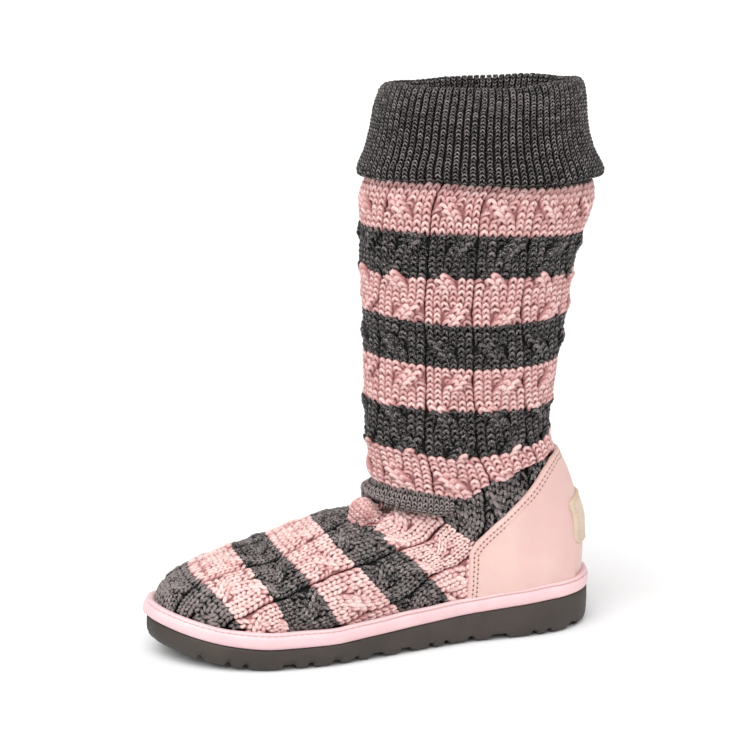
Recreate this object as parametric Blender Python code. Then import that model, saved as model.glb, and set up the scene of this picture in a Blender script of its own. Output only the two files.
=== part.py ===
"""Knitted boot for the left foot, standing empty on its rubber sole.

X runs from the toe (-) to the heel (+), -Y is the outer side of the foot, +Z is up.
The origin is on the ground, midway along the length and the width of the boot.
The tables below are in millimetres; every mesh is written in metres. Their heights are
measured from a level that lies DATUM above the ground.
"""
import math

import bmesh
import bpy
import numpy as np

MM = 0.001

# ---------------------------------------------------------------- driving sizes
LENGTH = 265.0          # outsole from the back of the heel to the tip of the toe
DATUM = 2.0             # height above the ground of the level that heights are measured from
HEEL_THICK = 21.3       # outsole height under the heel
BALL_THICK = 12.7       # outsole height under the ball of the foot
TOE_SPRING = 10.7       # rise of the sole at the tip of the toe
SPRING_START = 0.74     # share of the length at which the sole leaves the ground
ARCH_RISE = 0.5         # hollow under the waist of the sole
RAND_HEIGHT = 9.4       # strip that covers the joint of the knit and the sole
KNIT_WALL = 3.5         # thickness of the knitted fabric with its lining
CUFF_WALL = 3.6         # thickness of the ribbing
COUNTER_THICK = 2.2     # leather at the heel
PATCH_THICK = 1.2       # small patch on the leather
INSOLE_THICK = 4.0      # foot bed
GAP = 0.35              # free space between neighbouring pieces
SHAFT_TOP = 264.0       # height at which the knit meets the ribbing
CUFF_HEM = 264.0        # lower edge of the turned-down ribbing
CUFF_TOP = 319.0        # top of the fold
UPPER_SEGMENTS = 48     # divisions round the upper
FOOT_RINGS = 11         # sections between the toe and the ankle
SHIFT_X = -0.4          # moves the finished boot so that its box is centred on the origin

# outline of the outsole: share of the length from the heel, half widths to each side
SOLE = {
    "at":      [0.0, .01, .03, .06, .12, .20, .30, .42, .55, .66, .76, .85, .92, .965, .99, 1.0],
    "lateral": [0.0, 10., 19., 26., 33., 35., 35., 39., 45., 49., 48., 41., 30., 18.5, 8.5, 0.0],
    "medial":  [0.0, 10., 19., 26., 33., 34., 32., 31., 38., 45., 47., 43., 34., 23.0, 12., 0.0],
}
# body of the foot: distance from the heel, height of the instep line, its sideways
# offset to the big toe, height of the widest place, roundness of the section
FOOT = {
    "at":     [0.0, 30., 80., 125., 142., 152., 171., 180., 198., 217., 227., 236., 243., 249.,
               254., 258., 260.5],
    "ridge":  [50., 60., 78., 78.5, 77.3, 73.8, 66.6, 63.0, 56.8, 51.4, 48.6, 46.6, 44.5, 41.5,
               38., 33.5, 28.],
    "offset": [0., 0., 0., 1., 2., 3., 4., 5., 6., 6., 5., 4., 3., 3., 3., 3., 3.],
    "widest": [34., 36., 37., 36., 35., 34., 33., 32., 31., 30., 30., 29., 29., 28., 27., 26., 25.],
    "round":  [2.1, 2.1, 2.1, 2.1, 2.1, 2.1, 2.1, 2.15, 2.2, 2.3, 2.3, 2.3, 2.3, 2.2, 2.2, 2.1, 2.1],
}
# shaft and heel: height, foremost and hindmost place, half width, squareness of the back
SHAFT = {
    "at":     [10., 25., 40., 60., 75., 90., 105., 120., 140., 170., 200., 230., 250., 257., 264.],
    "front":  [0.0, 0.0, 0.0, 0.0, 0.0, -0.4, -1.0, -3.3, -3.3, -3.6, -4.8, -5.6, -6.0, -5.2, -1.6],
    "back":   [124.4, 124.9, 125.5, 124.9, 120.5, 115.1, 108.5, 104.6, 106.7, 111.3, 115.2, 121.5,
               128.3, 128.9, 126.],
    "half":   [27.5, 29.5, 31.5, 32.5, 33., 34., 36., 38.5, 41., 44., 46.5, 49., 51., 50.6, 47.6],
    "square": [2.4, 2.4, 2.4, 2.4, 2.35, 2.3, 2.2, 2.15, 2.1, 2.1, 2.1, 2.1, 2.1, 2.1, 2.1],
}
# the deep bend at the front of the ankle: distance forward, height of the fold line, strength
FOLD = {
    "at":    [-30., -12., 0.0, 15., 30., 45., 60.],
    "line":  [80.5, 80.0, 79.3, 77.2, 73.8, 66.0, 60.0],
    "depth": [1.0, 1.0, 1.0, 0.60, 0.20, 0.02, 0.0],
}
# outside of the turned-down ribbing: height, foremost and hindmost place, half width
CUFF = {
    "at":    [258.5, 264., 271., 281., 294., 304., 312., 316.5],
    "front": [-6.8, -6.5, -5.0, -1.2, 1.6, 3.2, 5.2, 6.8],
    "back":  [134., 133.2, 130.8, 126.2, 122.8, 122.2, 121.6, 120.6],
    "half":  [54.8, 54.7, 53.6, 51.9, 50.6, 50., 49., 47.6],
}
# upper edge of the heel leather seen from the side
COUNTER_EDGE = {
    "at":     [46.5, 47.5, 51.1, 56.4, 61.7, 71.9, 83.2, 94.0, 99.8, 106.4, 150.],
    "height": [0.0, 52.0, 57.6, 62.5, 67.0, 75.5, 86.0, 98.2, 102.6, 104., 104.],
}
# grooves across the sole: place and width along X
GROOVES = [
    (-109.2, 3.0), (-95.6, 3.0), (-86.8, 3.0), (-63.4, 8.0), (-51.0, 3.2), (-36.5, 5.4),
    (-24.2, 3.5), (-7.2, 8.4), (10.1, 7.6), (26.0, 3.6), (35.6, 3.5), (51.4, 4.5), (68.6, 10.6),
    (90.0, 3.9), (99.6, 3.3), (116.0, 6.0),
]
GROOVE_DEPTH = 2.6


def spline(table, name, at):
    """Smooth curve through one column of a table, which never overshoots its points."""
    xs = np.array(table["at"], float)
    ys = np.array(table[name], float)
    step = np.diff(xs)
    slope = np.diff(ys) / step
    tangent = np.zeros(len(xs))
    w1 = 2 * step[1:] + step[:-1]
    w2 = step[1:] + 2 * step[:-1]
    same = slope[:-1] * slope[1:] > 0
    safe_a = np.where(same, slope[:-1], 1.0)
    safe_b = np.where(same, slope[1:], 1.0)
    tangent[1:-1] = np.where(same, (w1 + w2) / (w1 / safe_a + w2 / safe_b), 0.0)
    tangent[0] = slope[0]
    tangent[-1] = slope[-1]
    q = np.clip(np.asarray(at, float), xs[0], xs[-1])
    i = np.clip(np.searchsorted(xs, q) - 1, 0, len(xs) - 2)
    t = (q - xs[i]) / step[i]
    return ((1 + 2 * t) * (1 - t) ** 2 * ys[i] + t * (1 - t) ** 2 * step[i] * tangent[i]
            + t * t * (3 - 2 * t) * ys[i + 1] + t * t * (t - 1) * step[i] * tangent[i + 1])


def toe_lift(x):
    """Rise of the sole towards the tip of the toe."""
    share = (LENGTH / 2 - x) / LENGTH
    return TOE_SPRING * np.clip((share - SPRING_START) / (1 - SPRING_START), 0, 1) ** 2


def sole_top(x):
    """Height of the upper face of the outsole."""
    share = (LENGTH / 2 - x) / LENGTH
    thick = HEEL_THICK + (BALL_THICK - HEEL_THICK) * np.clip((share - .12) / .5, 0, 1)
    return thick + toe_lift(x) - DATUM


def sole_bottom(x):
    """Height of the tread: flat at the heel and at the ball, hollow at the waist."""
    waist = np.clip(1 - ((x - 44.0) / 34.0) ** 2, 0, 1)
    return toe_lift(x) + ARCH_RISE * waist ** 2 - DATUM


def foot_distance(x, y, z):
    """Below zero inside the foot part of the last."""
    inset = 4.6
    from_heel = LENGTH / 2 - inset - x
    span = LENGTH - 2 * inset
    share = np.clip(from_heel / span, 0, 1)
    shrink = inset * np.clip(16 * np.minimum(share, 1 - share), 0, 1)
    at = LENGTH / 2 - x
    ridge = spline(FOOT, "ridge", at)
    offset = spline(FOOT, "offset", at)
    widest = spline(FOOT, "widest", at)
    power = spline(FOOT, "round", at)
    outer = spline(SOLE, "lateral", share) - shrink + offset
    inner = spline(SOLE, "medial", share) - shrink - offset
    side = np.maximum(np.where(y < offset, outer, inner), 0.5)
    low = np.clip((widest - z) / 12.0, 0, 1.5)
    width = side * 1.04 * (1 - 0.045 * low ** 2)
    up = np.clip((z - widest) / (ridge - widest), 0, None)
    r = ((np.abs(y - offset) / width) ** power + up ** power) ** (1 / power)
    ends = np.maximum(15.0 - from_heel, from_heel - span)
    return np.maximum((r - 1) * np.clip(side, 20.0, ridge - 10), ends)


def shaft_distance(x, y, z):
    """Below zero inside the shaft and the heel."""
    front = spline(SHAFT, "front", z)
    back = spline(SHAFT, "back", z)
    half = spline(SHAFT, "half", z)
    centre = (front + back) / 2
    reach = (back - front) / 2
    power = np.where(x > centre, spline(SHAFT, "square", z), 2.1)
    r = ((np.abs(x - centre) / reach) ** power + (np.abs(y) / half) ** power) ** (1 / power)
    return (r - 1) * half


def fold_height(x, z):
    """How far the knit stands out at the bend of the ankle: a roll over a sunk line."""
    line = spline(FOLD, "line", x)
    depth = spline(FOLD, "depth", x)
    above = z - line
    roll = 3.6 * np.exp(-((above - 7.5) / 5.0) ** 2)
    sink = -2.4 * np.exp(-(above / 3.6) ** 2)
    knob = 1.0 * np.exp(-((above + 7.0) / 4.5) ** 2)
    return depth * (roll + sink + knob)


def upper_distance(x, y, z):
    """Outside of the knitted upper: foot and shaft run into each other."""
    foot = foot_distance(x, y, z)
    shaft = shaft_distance(x, y, z)
    soft = 7.0
    mix = np.clip(0.5 + 0.5 * (shaft - foot) / soft, 0, 1)
    joined = shaft * (1 - mix) + foot * mix - soft * mix * (1 - mix)
    return joined - fold_height(x, z)


def section(height, front, back, count):
    """Closed section of the upper at height(x), with points denser where it curves."""
    rays = 360
    angle = math.pi + np.linspace(0, 2 * math.pi, rays, endpoint=False)
    cx = front * 0.42 + back * 0.58
    near = np.full(rays, 2.0)
    far = np.full(rays, 230.0)
    for _ in range(34):
        mid = (near + far) / 2
        x = cx + mid * np.cos(angle)
        inside = upper_distance(x, mid * np.sin(angle), height(x)) < 0
        near = np.where(inside, mid, near)
        far = np.where(inside, far, mid)
    x = cx + near * np.cos(angle)
    y = near * np.sin(angle)
    step = np.roll(np.stack([x, y], 1), -1, 0) - np.stack([x, y], 1)
    heading = np.arctan2(step[:, 1], step[:, 0])
    turn = np.abs((np.roll(heading, -1) - heading + math.pi) % (2 * math.pi) - math.pi)
    cost = np.hypot(step[:, 0], step[:, 1]) + 14.0 * turn
    points = []
    for first in (0, rays // 2):
        part = cost[first:first + rays // 2]
        run = np.concatenate([[0.0], np.cumsum(part)])
        want = np.linspace(0, run[-1], count // 2, endpoint=False)
        place = np.interp(want, run, np.arange(first, first + rays // 2 + 1))
        a = np.floor(place).astype(int)
        t = place - a
        px = x[a % rays] * (1 - t) + x[(a + 1) % rays] * t
        py = y[a % rays] * (1 - t) + y[(a + 1) % rays] * t
        points.append(np.stack([px, py, height(px)], 1))
    return np.concatenate(points)


def level(nose, heel):
    """Height function of a flat section through a point at the nose and one at the heel."""
    slope = (heel[1] - nose[1]) / (heel[0] - nose[0])
    return lambda x: nose[1] + (np.asarray(x, float) - nose[0]) * slope


def above_sole(rise):
    """Height function of a section that follows the top of the outsole."""
    return lambda x: sole_top(np.asarray(x, float)) + rise


def upper_rings():
    """All sections of the upper from the sole to the ribbing."""
    rings = []
    for rise in (GAP, RAND_HEIGHT / 2, RAND_HEIGHT):
        rings.append(section(above_sole(rise), -128.0, 127.0, UPPER_SEGMENTS))
    line_x = np.linspace(-125.4, -12.0, 400)
    line_z = spline(FOOT, "ridge", LENGTH / 2 - line_x)
    run = np.concatenate([[0.0], np.cumsum(np.hypot(np.diff(line_x), np.diff(line_z)))])
    for i in range(FOOT_RINGS):
        share = i / (FOOT_RINGS - 1)
        x = np.interp(share * run[-1], run, line_x)
        z = np.interp(share * run[-1], run, line_z)
        rings.append(section(level((x, z), (127.0, 35.0 + 54.0 * share)), x, 127.0,
                             UPPER_SEGMENTS))
    for low, high in ((79.6, 93.0), (83.4, 96.5), (88.0, 100.5), (94.0, 105.5), (103.0, 112.5),
                      (116.0, 122.5), (134.0, 137.0), (154.0, 155.0), (176.0, 176.0),
                      (198.0, 198.0), (220.0, 220.0), (240.0, 240.0), (253.0, 253.0),
                      (SHAFT_TOP, SHAFT_TOP)):
        rings.append(section(level((-3.0, low), (112.0, high)), -3.0, 112.0, UPPER_SEGMENTS))
    return rings


def outward(points):
    """Unit vectors that point away from the upper at its surface."""
    e = 0.4
    x, y, z = points[:, 0], points[:, 1], points[:, 2]
    gradient = np.stack([
        upper_distance(x + e, y, z) - upper_distance(x - e, y, z),
        upper_distance(x, y + e, z) - upper_distance(x, y - e, z),
        upper_distance(x, y, z + e) - upper_distance(x, y, z - e),
    ], 1)
    return gradient / np.linalg.norm(gradient, axis=1)[:, None]


def level_outward(points):
    """Unit vectors that point away from the upper, kept level."""
    n = outward(points)
    n[:, 2] = 0
    return n / np.linalg.norm(n, axis=1)[:, None]


def material(name, colour, roughness):
    """One Principled material."""
    mat = bpy.data.materials.new(name)
    mat.use_nodes = True
    shader = mat.node_tree.nodes["Principled BSDF"]
    shader.inputs["Base Color"].default_value = (*colour, 1.0)
    shader.inputs["Roughness"].default_value = roughness
    shader.inputs["Metallic"].default_value = 0.0
    mat.diffuse_color = (*colour, 1.0)
    return mat


def new_object(name, bm, mat, smooth=True, guide=False):
    """Turns a bmesh in millimetres into an object in metres."""
    bmesh.ops.recalc_face_normals(bm, faces=bm.faces)
    if bm.calc_volume(signed=True) < 0:
        bmesh.ops.reverse_faces(bm, faces=bm.faces)
    for v in bm.verts:
        v.co.x = (v.co.x + SHIFT_X) * MM
        v.co.y = v.co.y * MM
        v.co.z = (v.co.z + DATUM) * MM
    mesh = bpy.data.meshes.new(name)
    bm.to_mesh(mesh)
    bm.free()
    if smooth:
        mesh.shade_smooth()
        mesh.set_sharp_from_angle(angle=math.radians(40))
    obj = bpy.data.objects.new(name, mesh)
    bpy.context.scene.collection.objects.link(obj)
    if mat is not None:
        mesh.materials.append(mat)
    if guide:
        obj.hide_render = True
        obj.display_type = "WIRE"
    return obj


def add_rings(bm, rings, join_ends):
    """Triangle pairs between closed rings; join_ends also joins the last to the first."""
    loops = [[bm.verts.new(p) for p in ring] for ring in rings]
    pairs = list(zip(loops[:-1], loops[1:]))
    if join_ends:
        pairs.append((loops[-1], loops[0]))
    for low, high in pairs:
        n = len(low)
        for j in range(n):
            bm.faces.new((low[j], low[(j + 1) % n], high[(j + 1) % n]))
            bm.faces.new((low[j], high[(j + 1) % n], high[j]))
    return loops


def form(name, rings, offset):
    """Closed body that follows the upper at a distance, used to cut the heel pieces."""
    bm = bmesh.new()
    layers = []
    for ring in rings:
        share = np.clip((ring[:, 0] - 20.0) / 15.0, 0, 1)
        layers.append(ring + outward(ring) * (offset * share)[:, None])
    loops = add_rings(bm, layers, False)
    bm.faces.new(loops[0])
    bm.faces.new(loops[-1])
    return new_object(name, bm, None, False, True)


def prism(name, outline, axis, low, high):
    """Straight body over an outline in the XZ plane (axis 1) or the YZ plane (axis 0)."""
    bm = bmesh.new()
    ends = []
    for side in (low, high):
        if axis == 1:
            ends.append([bm.verts.new((a, side, b)) for a, b in outline])
        else:
            ends.append([bm.verts.new((side, a, b)) for a, b in outline])
    n = len(outline)
    for j in range(n):
        bm.faces.new((ends[0][j], ends[0][(j + 1) % n], ends[1][(j + 1) % n], ends[1][j]))
    bm.faces.new(ends[0])
    bm.faces.new(ends[1])
    return new_object(name, bm, None, False, True)


def cut(obj, other, operation):
    """Exact Boolean with another body."""
    mod = obj.modifiers.new(operation.lower(), "BOOLEAN")
    mod.operation = operation
    mod.solver = "EXACT"
    mod.object = other


def between_forms(name, outer, inner, limit, mat):
    """The part of the skin between two forms that lies inside a limiting body."""
    outer.name = name
    outer.data.name = name
    outer.hide_render = False
    outer.display_type = "TEXTURED"
    outer.data.materials.append(mat)
    cut(outer, limit, "INTERSECT")
    cut(outer, inner, "DIFFERENCE")
    return outer


def rounded(corners, radius, steps):
    """Outline with its corners rounded."""
    points = []
    n = len(corners)
    for i in range(n):
        corner = np.array(corners[i], float)
        before = np.array(corners[i - 1], float) - corner
        after = np.array(corners[(i + 1) % n], float) - corner
        a = corner + before / np.linalg.norm(before) * radius
        b = corner + after / np.linalg.norm(after) * radius
        for k in range(steps + 1):
            t = k / steps
            p = a * (1 - t) ** 2 + corner * 2 * t * (1 - t) + b * t * t
            points.append((float(p[0]), float(p[1])))
    return points


def even_points(points, count):
    """The same closed outline with its points evenly spread."""
    loop = np.array(points + points[:1], float)
    run = np.concatenate([[0.0], np.cumsum(np.linalg.norm(np.diff(loop, axis=0), axis=1))])
    want = np.linspace(0, run[-1], count, endpoint=False)
    return np.stack([np.interp(want, run, loop[:, i]) for i in (0, 1)], 1)


def slab(name, half_lateral, half_medial, levels, mat, stations):
    """Body over the sole's outline, built from cross sections along the length.

    levels lists (inset, height function) from the outer bottom edge up to the top edge.
    """
    bm = bmesh.new()
    previous = None
    for x in stations:
        loop = []
        for inset, height in levels:
            loop.append(bm.verts.new((x, -(half_lateral(x) - inset(x)), height(x))))
        for inset, height in reversed(levels):
            loop.append(bm.verts.new((x, half_medial(x) - inset(x), height(x))))
        if previous is None:
            bm.faces.new(loop)
        else:
            n = len(loop)
            for j in range(n):
                bm.faces.new((previous[j], previous[(j + 1) % n], loop[(j + 1) % n], loop[j]))
        previous = loop
    bm.faces.new(previous)
    return new_object(name, bm, mat)


def make_outsole(mat):
    """Moulded rubber sole with lug grooves."""
    def lateral(x):
        return float(spline(SOLE, "lateral", (LENGTH / 2 - x) / LENGTH))

    def medial(x):
        return float(spline(SOLE, "medial", (LENGTH / 2 - x) / LENGTH))

    def edge(amount):
        return lambda x: amount * min(1.0, lateral(x) / 12.0)

    def heel_back_round(amount):
        return lambda x: float(sole_bottom(x)) + amount

    count = 34
    turn = np.linspace(math.radians(4.5), math.radians(175.5), count)
    stations = [LENGTH / 2 * math.cos(a) for a in turn]
    levels = [
        (edge(2.6), heel_back_round(0.0)),
        (edge(0.5), heel_back_round(2.4)),
        (edge(0.0), lambda x: float(sole_top(x)) - 3.0),
        (edge(0.3), lambda x: float(sole_top(x))),
    ]
    sole = slab("outsole", lateral, medial, levels, mat, stations)
    bm = bmesh.new()
    for x, width in GROOVES:
        base = float(sole_bottom(x))
        low = [(-width / 2 - 0.7, -6.0), (width / 2 + 0.7, -6.0)]
        high = [(width / 2, base + GROOVE_DEPTH), (-width / 2, base + GROOVE_DEPTH)]
        ends = []
        for y in (-70.0, 70.0):
            lean = 0.05 * y * math.copysign(1.0, x + 10.0)
            ends.append([bm.verts.new((x + a + lean, y, b)) for a, b in low + high])
        for j in range(4):
            bm.faces.new((ends[0][j], ends[0][(j + 1) % 4], ends[1][(j + 1) % 4], ends[1][j]))
        bm.faces.new(ends[0])
        bm.faces.new(ends[1])
    cut(sole, new_object("groove_cutter", bm, None, False, True), "DIFFERENCE")
    return sole


def make_insole(mat, low_ring):
    """Foot bed with a slightly raised edge, inside the wall of the upper."""
    inner = low_ring - level_outward(low_ring) * (KNIT_WALL + 1.5)
    half = len(inner) // 2
    side_a = inner[:half + 1]
    side_b = np.concatenate([inner[half:], inner[:1]])
    if side_a[:, 1].mean() > 0:
        side_a, side_b = side_b, side_a
    side_a = side_a[np.argsort(side_a[:, 0])]
    side_b = side_b[np.argsort(side_b[:, 0])]

    def lateral(x):
        return -float(np.interp(x, side_a[:, 0], side_a[:, 1]))

    def medial(x):
        return float(np.interp(x, side_b[:, 0], side_b[:, 1]))

    def inset(amount):
        return lambda x: amount * min(1.0, lateral(x) / 10.0, medial(x) / 10.0)

    front = float(inner[:, 0].min()) + 2.0
    back = float(inner[:, 0].max()) - 1.2
    stations = [(front + back) / 2 + (back - front) / 2 * math.cos(a)
                for a in np.linspace(0.0, math.pi, 22)]
    levels = [
        (inset(0.6), lambda x: float(sole_top(x)) + GAP),
        (inset(0.0), lambda x: float(sole_top(x)) + INSOLE_THICK - 0.8),
        (inset(2.0), lambda x: float(sole_top(x)) + INSOLE_THICK + 0.2),
        (inset(9.0), lambda x: float(sole_top(x)) + INSOLE_THICK - 0.4),
    ]
    return slab("insole", lateral, medial, levels, mat, stations)


def make_upper(rings, mat):
    """Knitted upper: one wall of even thickness, open at the top and underneath."""
    inside = [ring - outward(ring) * KNIT_WALL for ring in rings]
    inside[0] = rings[0] - level_outward(rings[0]) * KNIT_WALL
    inside[-1] = rings[-1] - level_outward(rings[-1]) * KNIT_WALL
    bm = bmesh.new()
    add_rings(bm, rings + inside[::-1], True)
    return new_object("knit_upper", bm, mat)


def make_rand(rings, mat):
    """Round-backed strip on the rim of the sole, against the foot of the upper."""
    low, middle, top = rings[0], rings[1], rings[2]
    inner = [ring + level_outward(ring) * GAP for ring in (low, middle, top)]
    outer = []
    for ring, share, rise in ((low, -0.6, GAP), (low, 0.35, 2.6), (middle, 0.55, 5.3),
                              (top, -0.1, RAND_HEIGHT - 1.3), (top, -1.8, RAND_HEIGHT + 0.1)):
        points = ring + level_outward(ring) * (outline_reach(ring) + share)[:, None]
        points[:, 2] = sole_top(points[:, 0]) + rise
        outer.append(points)
    bm = bmesh.new()
    add_rings(bm, inner + outer[::-1], True)
    return new_object("rand", bm, mat)


def outline_reach(ring):
    """Level distance from each point of a section out to the edge of the outsole."""
    share = (1 - np.cos(np.linspace(0, math.pi, 500))) / 2
    edge_x = LENGTH / 2 - share * LENGTH
    edge = np.concatenate([
        np.stack([edge_x, -spline(SOLE, "lateral", share)], 1),
        np.stack([edge_x, spline(SOLE, "medial", share)], 1)[::-1],
    ])
    n = level_outward(ring)
    reach = []
    for p, d in zip(ring, n):
        rel = edge - p[:2]
        along = rel @ d[:2]
        across = np.abs(rel[:, 0] * d[1] - rel[:, 1] * d[0])
        good = along > 0
        reach.append(along[good][np.argmin(across[good])])
    reach = np.array(reach)
    for _ in range(2):
        reach = (np.roll(reach, 1) + 2 * reach + np.roll(reach, -1)) / 4
    return reach


def heel_point(y, z, away):
    """Points at a distance outside the back of the upper, for given places seen from behind."""
    near = np.full(np.shape(y), 70.0)
    far = np.full(np.shape(y), 150.0)
    for _ in range(34):
        mid = (near + far) / 2
        inside = upper_distance(mid, y, z) < 0
        near = np.where(inside, mid, near)
        far = np.where(inside, far, mid)
    points = np.stack([near, y, z], 1)
    return points + outward(points) * away


def make_patch(mat):
    """Small plain patch lying on the leather at the back of the heel."""
    corners = [(-22.0, 74.0), (-13.0, 76.5), (13.0, 76.5), (22.0, 74.0), (21.5, 48.0),
               (-21.5, 48.0)]
    outline = even_points(rounded(corners, 2.5, 4), 28)
    middle = np.array([0.0, 64.0])
    low = GAP + COUNTER_THICK + GAP + 0.2
    high = low + PATCH_THICK
    rows = [(scale, low) for scale in (0.2, 0.4, 0.6, 0.8, 1.0)]
    rows += [(1.0, high - 0.4)] + [(scale, high) for scale in (0.97, 0.75, 0.5, 0.25)]
    bm = bmesh.new()
    loops = []
    for scale, away in rows:
        flat = middle + (outline - middle) * scale
        points = heel_point(flat[:, 0], flat[:, 1], away)
        loops.append([bm.verts.new(p) for p in points])
    n = len(outline)
    for a, b in zip(loops[:-1], loops[1:]):
        for j in range(n):
            bm.faces.new((a[j], a[(j + 1) % n], b[(j + 1) % n], b[j]))
    for loop, away in ((loops[0], low), (loops[-1], high)):
        centre = bm.verts.new(heel_point(middle[:1], middle[1:], away)[0])
        for j in range(n):
            bm.faces.new((loop[j], loop[(j + 1) % n], centre))
    return new_object("heel_patch", bm, mat)


def knit_edge(count, inset):
    """Section of the ribbing where it leaves the top edge of the knit."""
    ring = section(lambda x: np.full(np.shape(x), SHAFT_TOP), 0.0, 127.0, count)
    ring = ring - level_outward(ring) * inset
    ring[:, 2] = SHAFT_TOP + GAP
    return ring


def make_cuff(mat):
    """Ribbing folded outwards: the inner leg goes on from the knit, the outer hangs over it."""
    count = UPPER_SEGMENTS
    angle = math.pi + np.linspace(0, 2 * math.pi, count, endpoint=False)

    def ring(z, table_z, inset):
        front = float(spline(CUFF, "front", table_z)) + inset
        back = float(spline(CUFF, "back", table_z)) - inset
        half = float(spline(CUFF, "half", table_z)) - inset
        c, s = np.cos(angle), np.sin(angle)
        r = (np.abs(c) ** 2.1 + np.abs(s) ** 2.1) ** (-1 / 2.1)
        return np.stack([(front + back) / 2 + (back - front) / 2 * r * c, half * r * s,
                         np.full(count, z)], 1)

    air = 0.8
    both = 2 * CUFF_WALL + air
    outer = [ring(z, z, 0.0) for z in (CUFF_HEM, 270.0, 279.0, 291.0, 303.0, 312.0, 316.5)]
    crown = [ring(CUFF_TOP, 312.0, both * 0.5), ring(CUFF_TOP - 2.6, 312.0, both * 0.86)]
    inner = [ring(z, z, both) for z in (305.0, 284.0)]
    foot_in = knit_edge(count, KNIT_WALL)
    foot_out = knit_edge(count, 0.0)
    slot = [ring(z, z, CUFF_WALL + air) for z in (284.0, 302.0)]
    roof = [ring(309.6, 309.6, CUFF_WALL + air * 0.5)]
    hang = [ring(z, z, CUFF_WALL) for z in (302.0, 284.0, 272.0)]
    hem = [ring(CUFF_HEM + 0.9, CUFF_HEM, CUFF_WALL - 0.2)]
    bm = bmesh.new()
    add_rings(bm, outer + crown + inner + [foot_in, foot_out] + slot + roof + hang + hem, True)
    return new_object("rib_cuff", bm, mat)


def build():
    for obj in list(bpy.data.objects):
        bpy.data.objects.remove(obj, do_unlink=True)

    grey_knit = material("grey_rib_knit", (0.105, 0.095, 0.09), 0.9)
    pink_knit = material("pink_striped_knit", (0.72, 0.41, 0.42), 0.9)
    pink_leather = material("pale_pink_leather", (0.88, 0.66, 0.58), 0.55)
    rand_pink = material("pink_rand", (0.93, 0.66, 0.70), 0.45)
    beige = material("beige_patch", (0.72, 0.60, 0.47), 0.6)
    rubber = material("brown_rubber", (0.085, 0.072, 0.064), 0.6)
    fleece = material("cream_fleece", (0.80, 0.72, 0.62), 0.95)

    rings = upper_rings()
    make_outsole(rubber)
    make_insole(fleece, rings[0])
    make_upper(rings, pink_knit)
    make_rand(rings, rand_pink)
    make_cuff(grey_knit)

    heel_rings = rings[1:22]
    counter_form = form("counter_form", heel_rings, GAP + COUNTER_THICK)
    counter_inside = form("counter_inside", heel_rings, GAP)
    edge_x = np.linspace(COUNTER_EDGE["at"][1], 109.0, 13)
    outline = [(float(x), float(spline(COUNTER_EDGE, "height", x))) for x in edge_x]
    outline += [(150.0, 104.0)]
    for x in (150.0, 125.0, 100.0, 75.0, 60.0, 47.5):
        outline.append((x, float(sole_top(x)) + RAND_HEIGHT + GAP))
    side_limit = prism("counter_limit", outline, 1, -80.0, 80.0)
    between_forms("heel_counter", counter_form, counter_inside, side_limit, pink_leather)

    make_patch(beige)


build()
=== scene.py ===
import math

import bpy
import numpy as np
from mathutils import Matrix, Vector


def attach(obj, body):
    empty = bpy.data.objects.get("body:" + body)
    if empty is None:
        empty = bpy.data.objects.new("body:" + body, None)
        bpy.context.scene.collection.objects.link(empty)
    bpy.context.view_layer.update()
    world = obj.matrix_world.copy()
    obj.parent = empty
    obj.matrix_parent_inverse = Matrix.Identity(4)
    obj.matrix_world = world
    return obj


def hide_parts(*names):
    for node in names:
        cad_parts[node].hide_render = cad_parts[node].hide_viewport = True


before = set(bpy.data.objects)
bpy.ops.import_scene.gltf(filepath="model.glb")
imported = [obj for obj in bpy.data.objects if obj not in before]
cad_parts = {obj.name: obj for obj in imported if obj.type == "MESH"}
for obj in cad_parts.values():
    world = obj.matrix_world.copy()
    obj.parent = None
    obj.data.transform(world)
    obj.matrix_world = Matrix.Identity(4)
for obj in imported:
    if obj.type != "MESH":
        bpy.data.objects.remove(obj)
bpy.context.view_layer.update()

# ================================================================ rubber outsole
# The outsole is one piece of brown moulded rubber, cemented under the lasted boot.
# It is thick at the heel, thinner at the ball, springs up at the toe, and has grooves
# moulded right across its tread. Every size below is in millimetres.

LENGTH = 265.0
MIDDLE = -0.4           # the sole's own middle stands this far from the boot's middle
DATUM = 2.0             # height above the floor of the level that heights are measured from
HEEL_THICK = 21.3
BALL_THICK = 12.7
TOE_SPRING = 10.7
GROOVE_DEPTH = 2.6
RIM_STATIONS = 330      # places on each side at which the rim is laid out
SOLE = {
    "at":      [0.0, .01, .03, .06, .12, .20, .30, .42, .55, .66, .76, .85, .92, .965, .99, 1.0],
    "lateral": [0.0, 10., 19., 26., 33., 35., 35., 39., 45., 49., 48., 41., 30., 18.5, 8.5, 0.0],
    "medial":  [0.0, 10., 19., 26., 33., 34., 32., 31., 38., 45., 47., 43., 34., 23.0, 12., 0.0],
}
# where each groove of the tread lies along the sole, and how wide it is
TREAD_GROOVES = [
    (-109.2, 3.0), (-95.6, 3.0), (-86.8, 3.0), (-63.4, 8.0), (-51.0, 3.2), (-36.5, 5.4),
    (-24.2, 3.5), (-7.2, 8.4), (10.1, 7.6), (26.0, 3.6), (35.6, 3.5), (51.4, 4.5), (68.6, 10.6),
    (90.0, 3.9), (99.6, 3.3), (116.0, 6.0),
]


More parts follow.
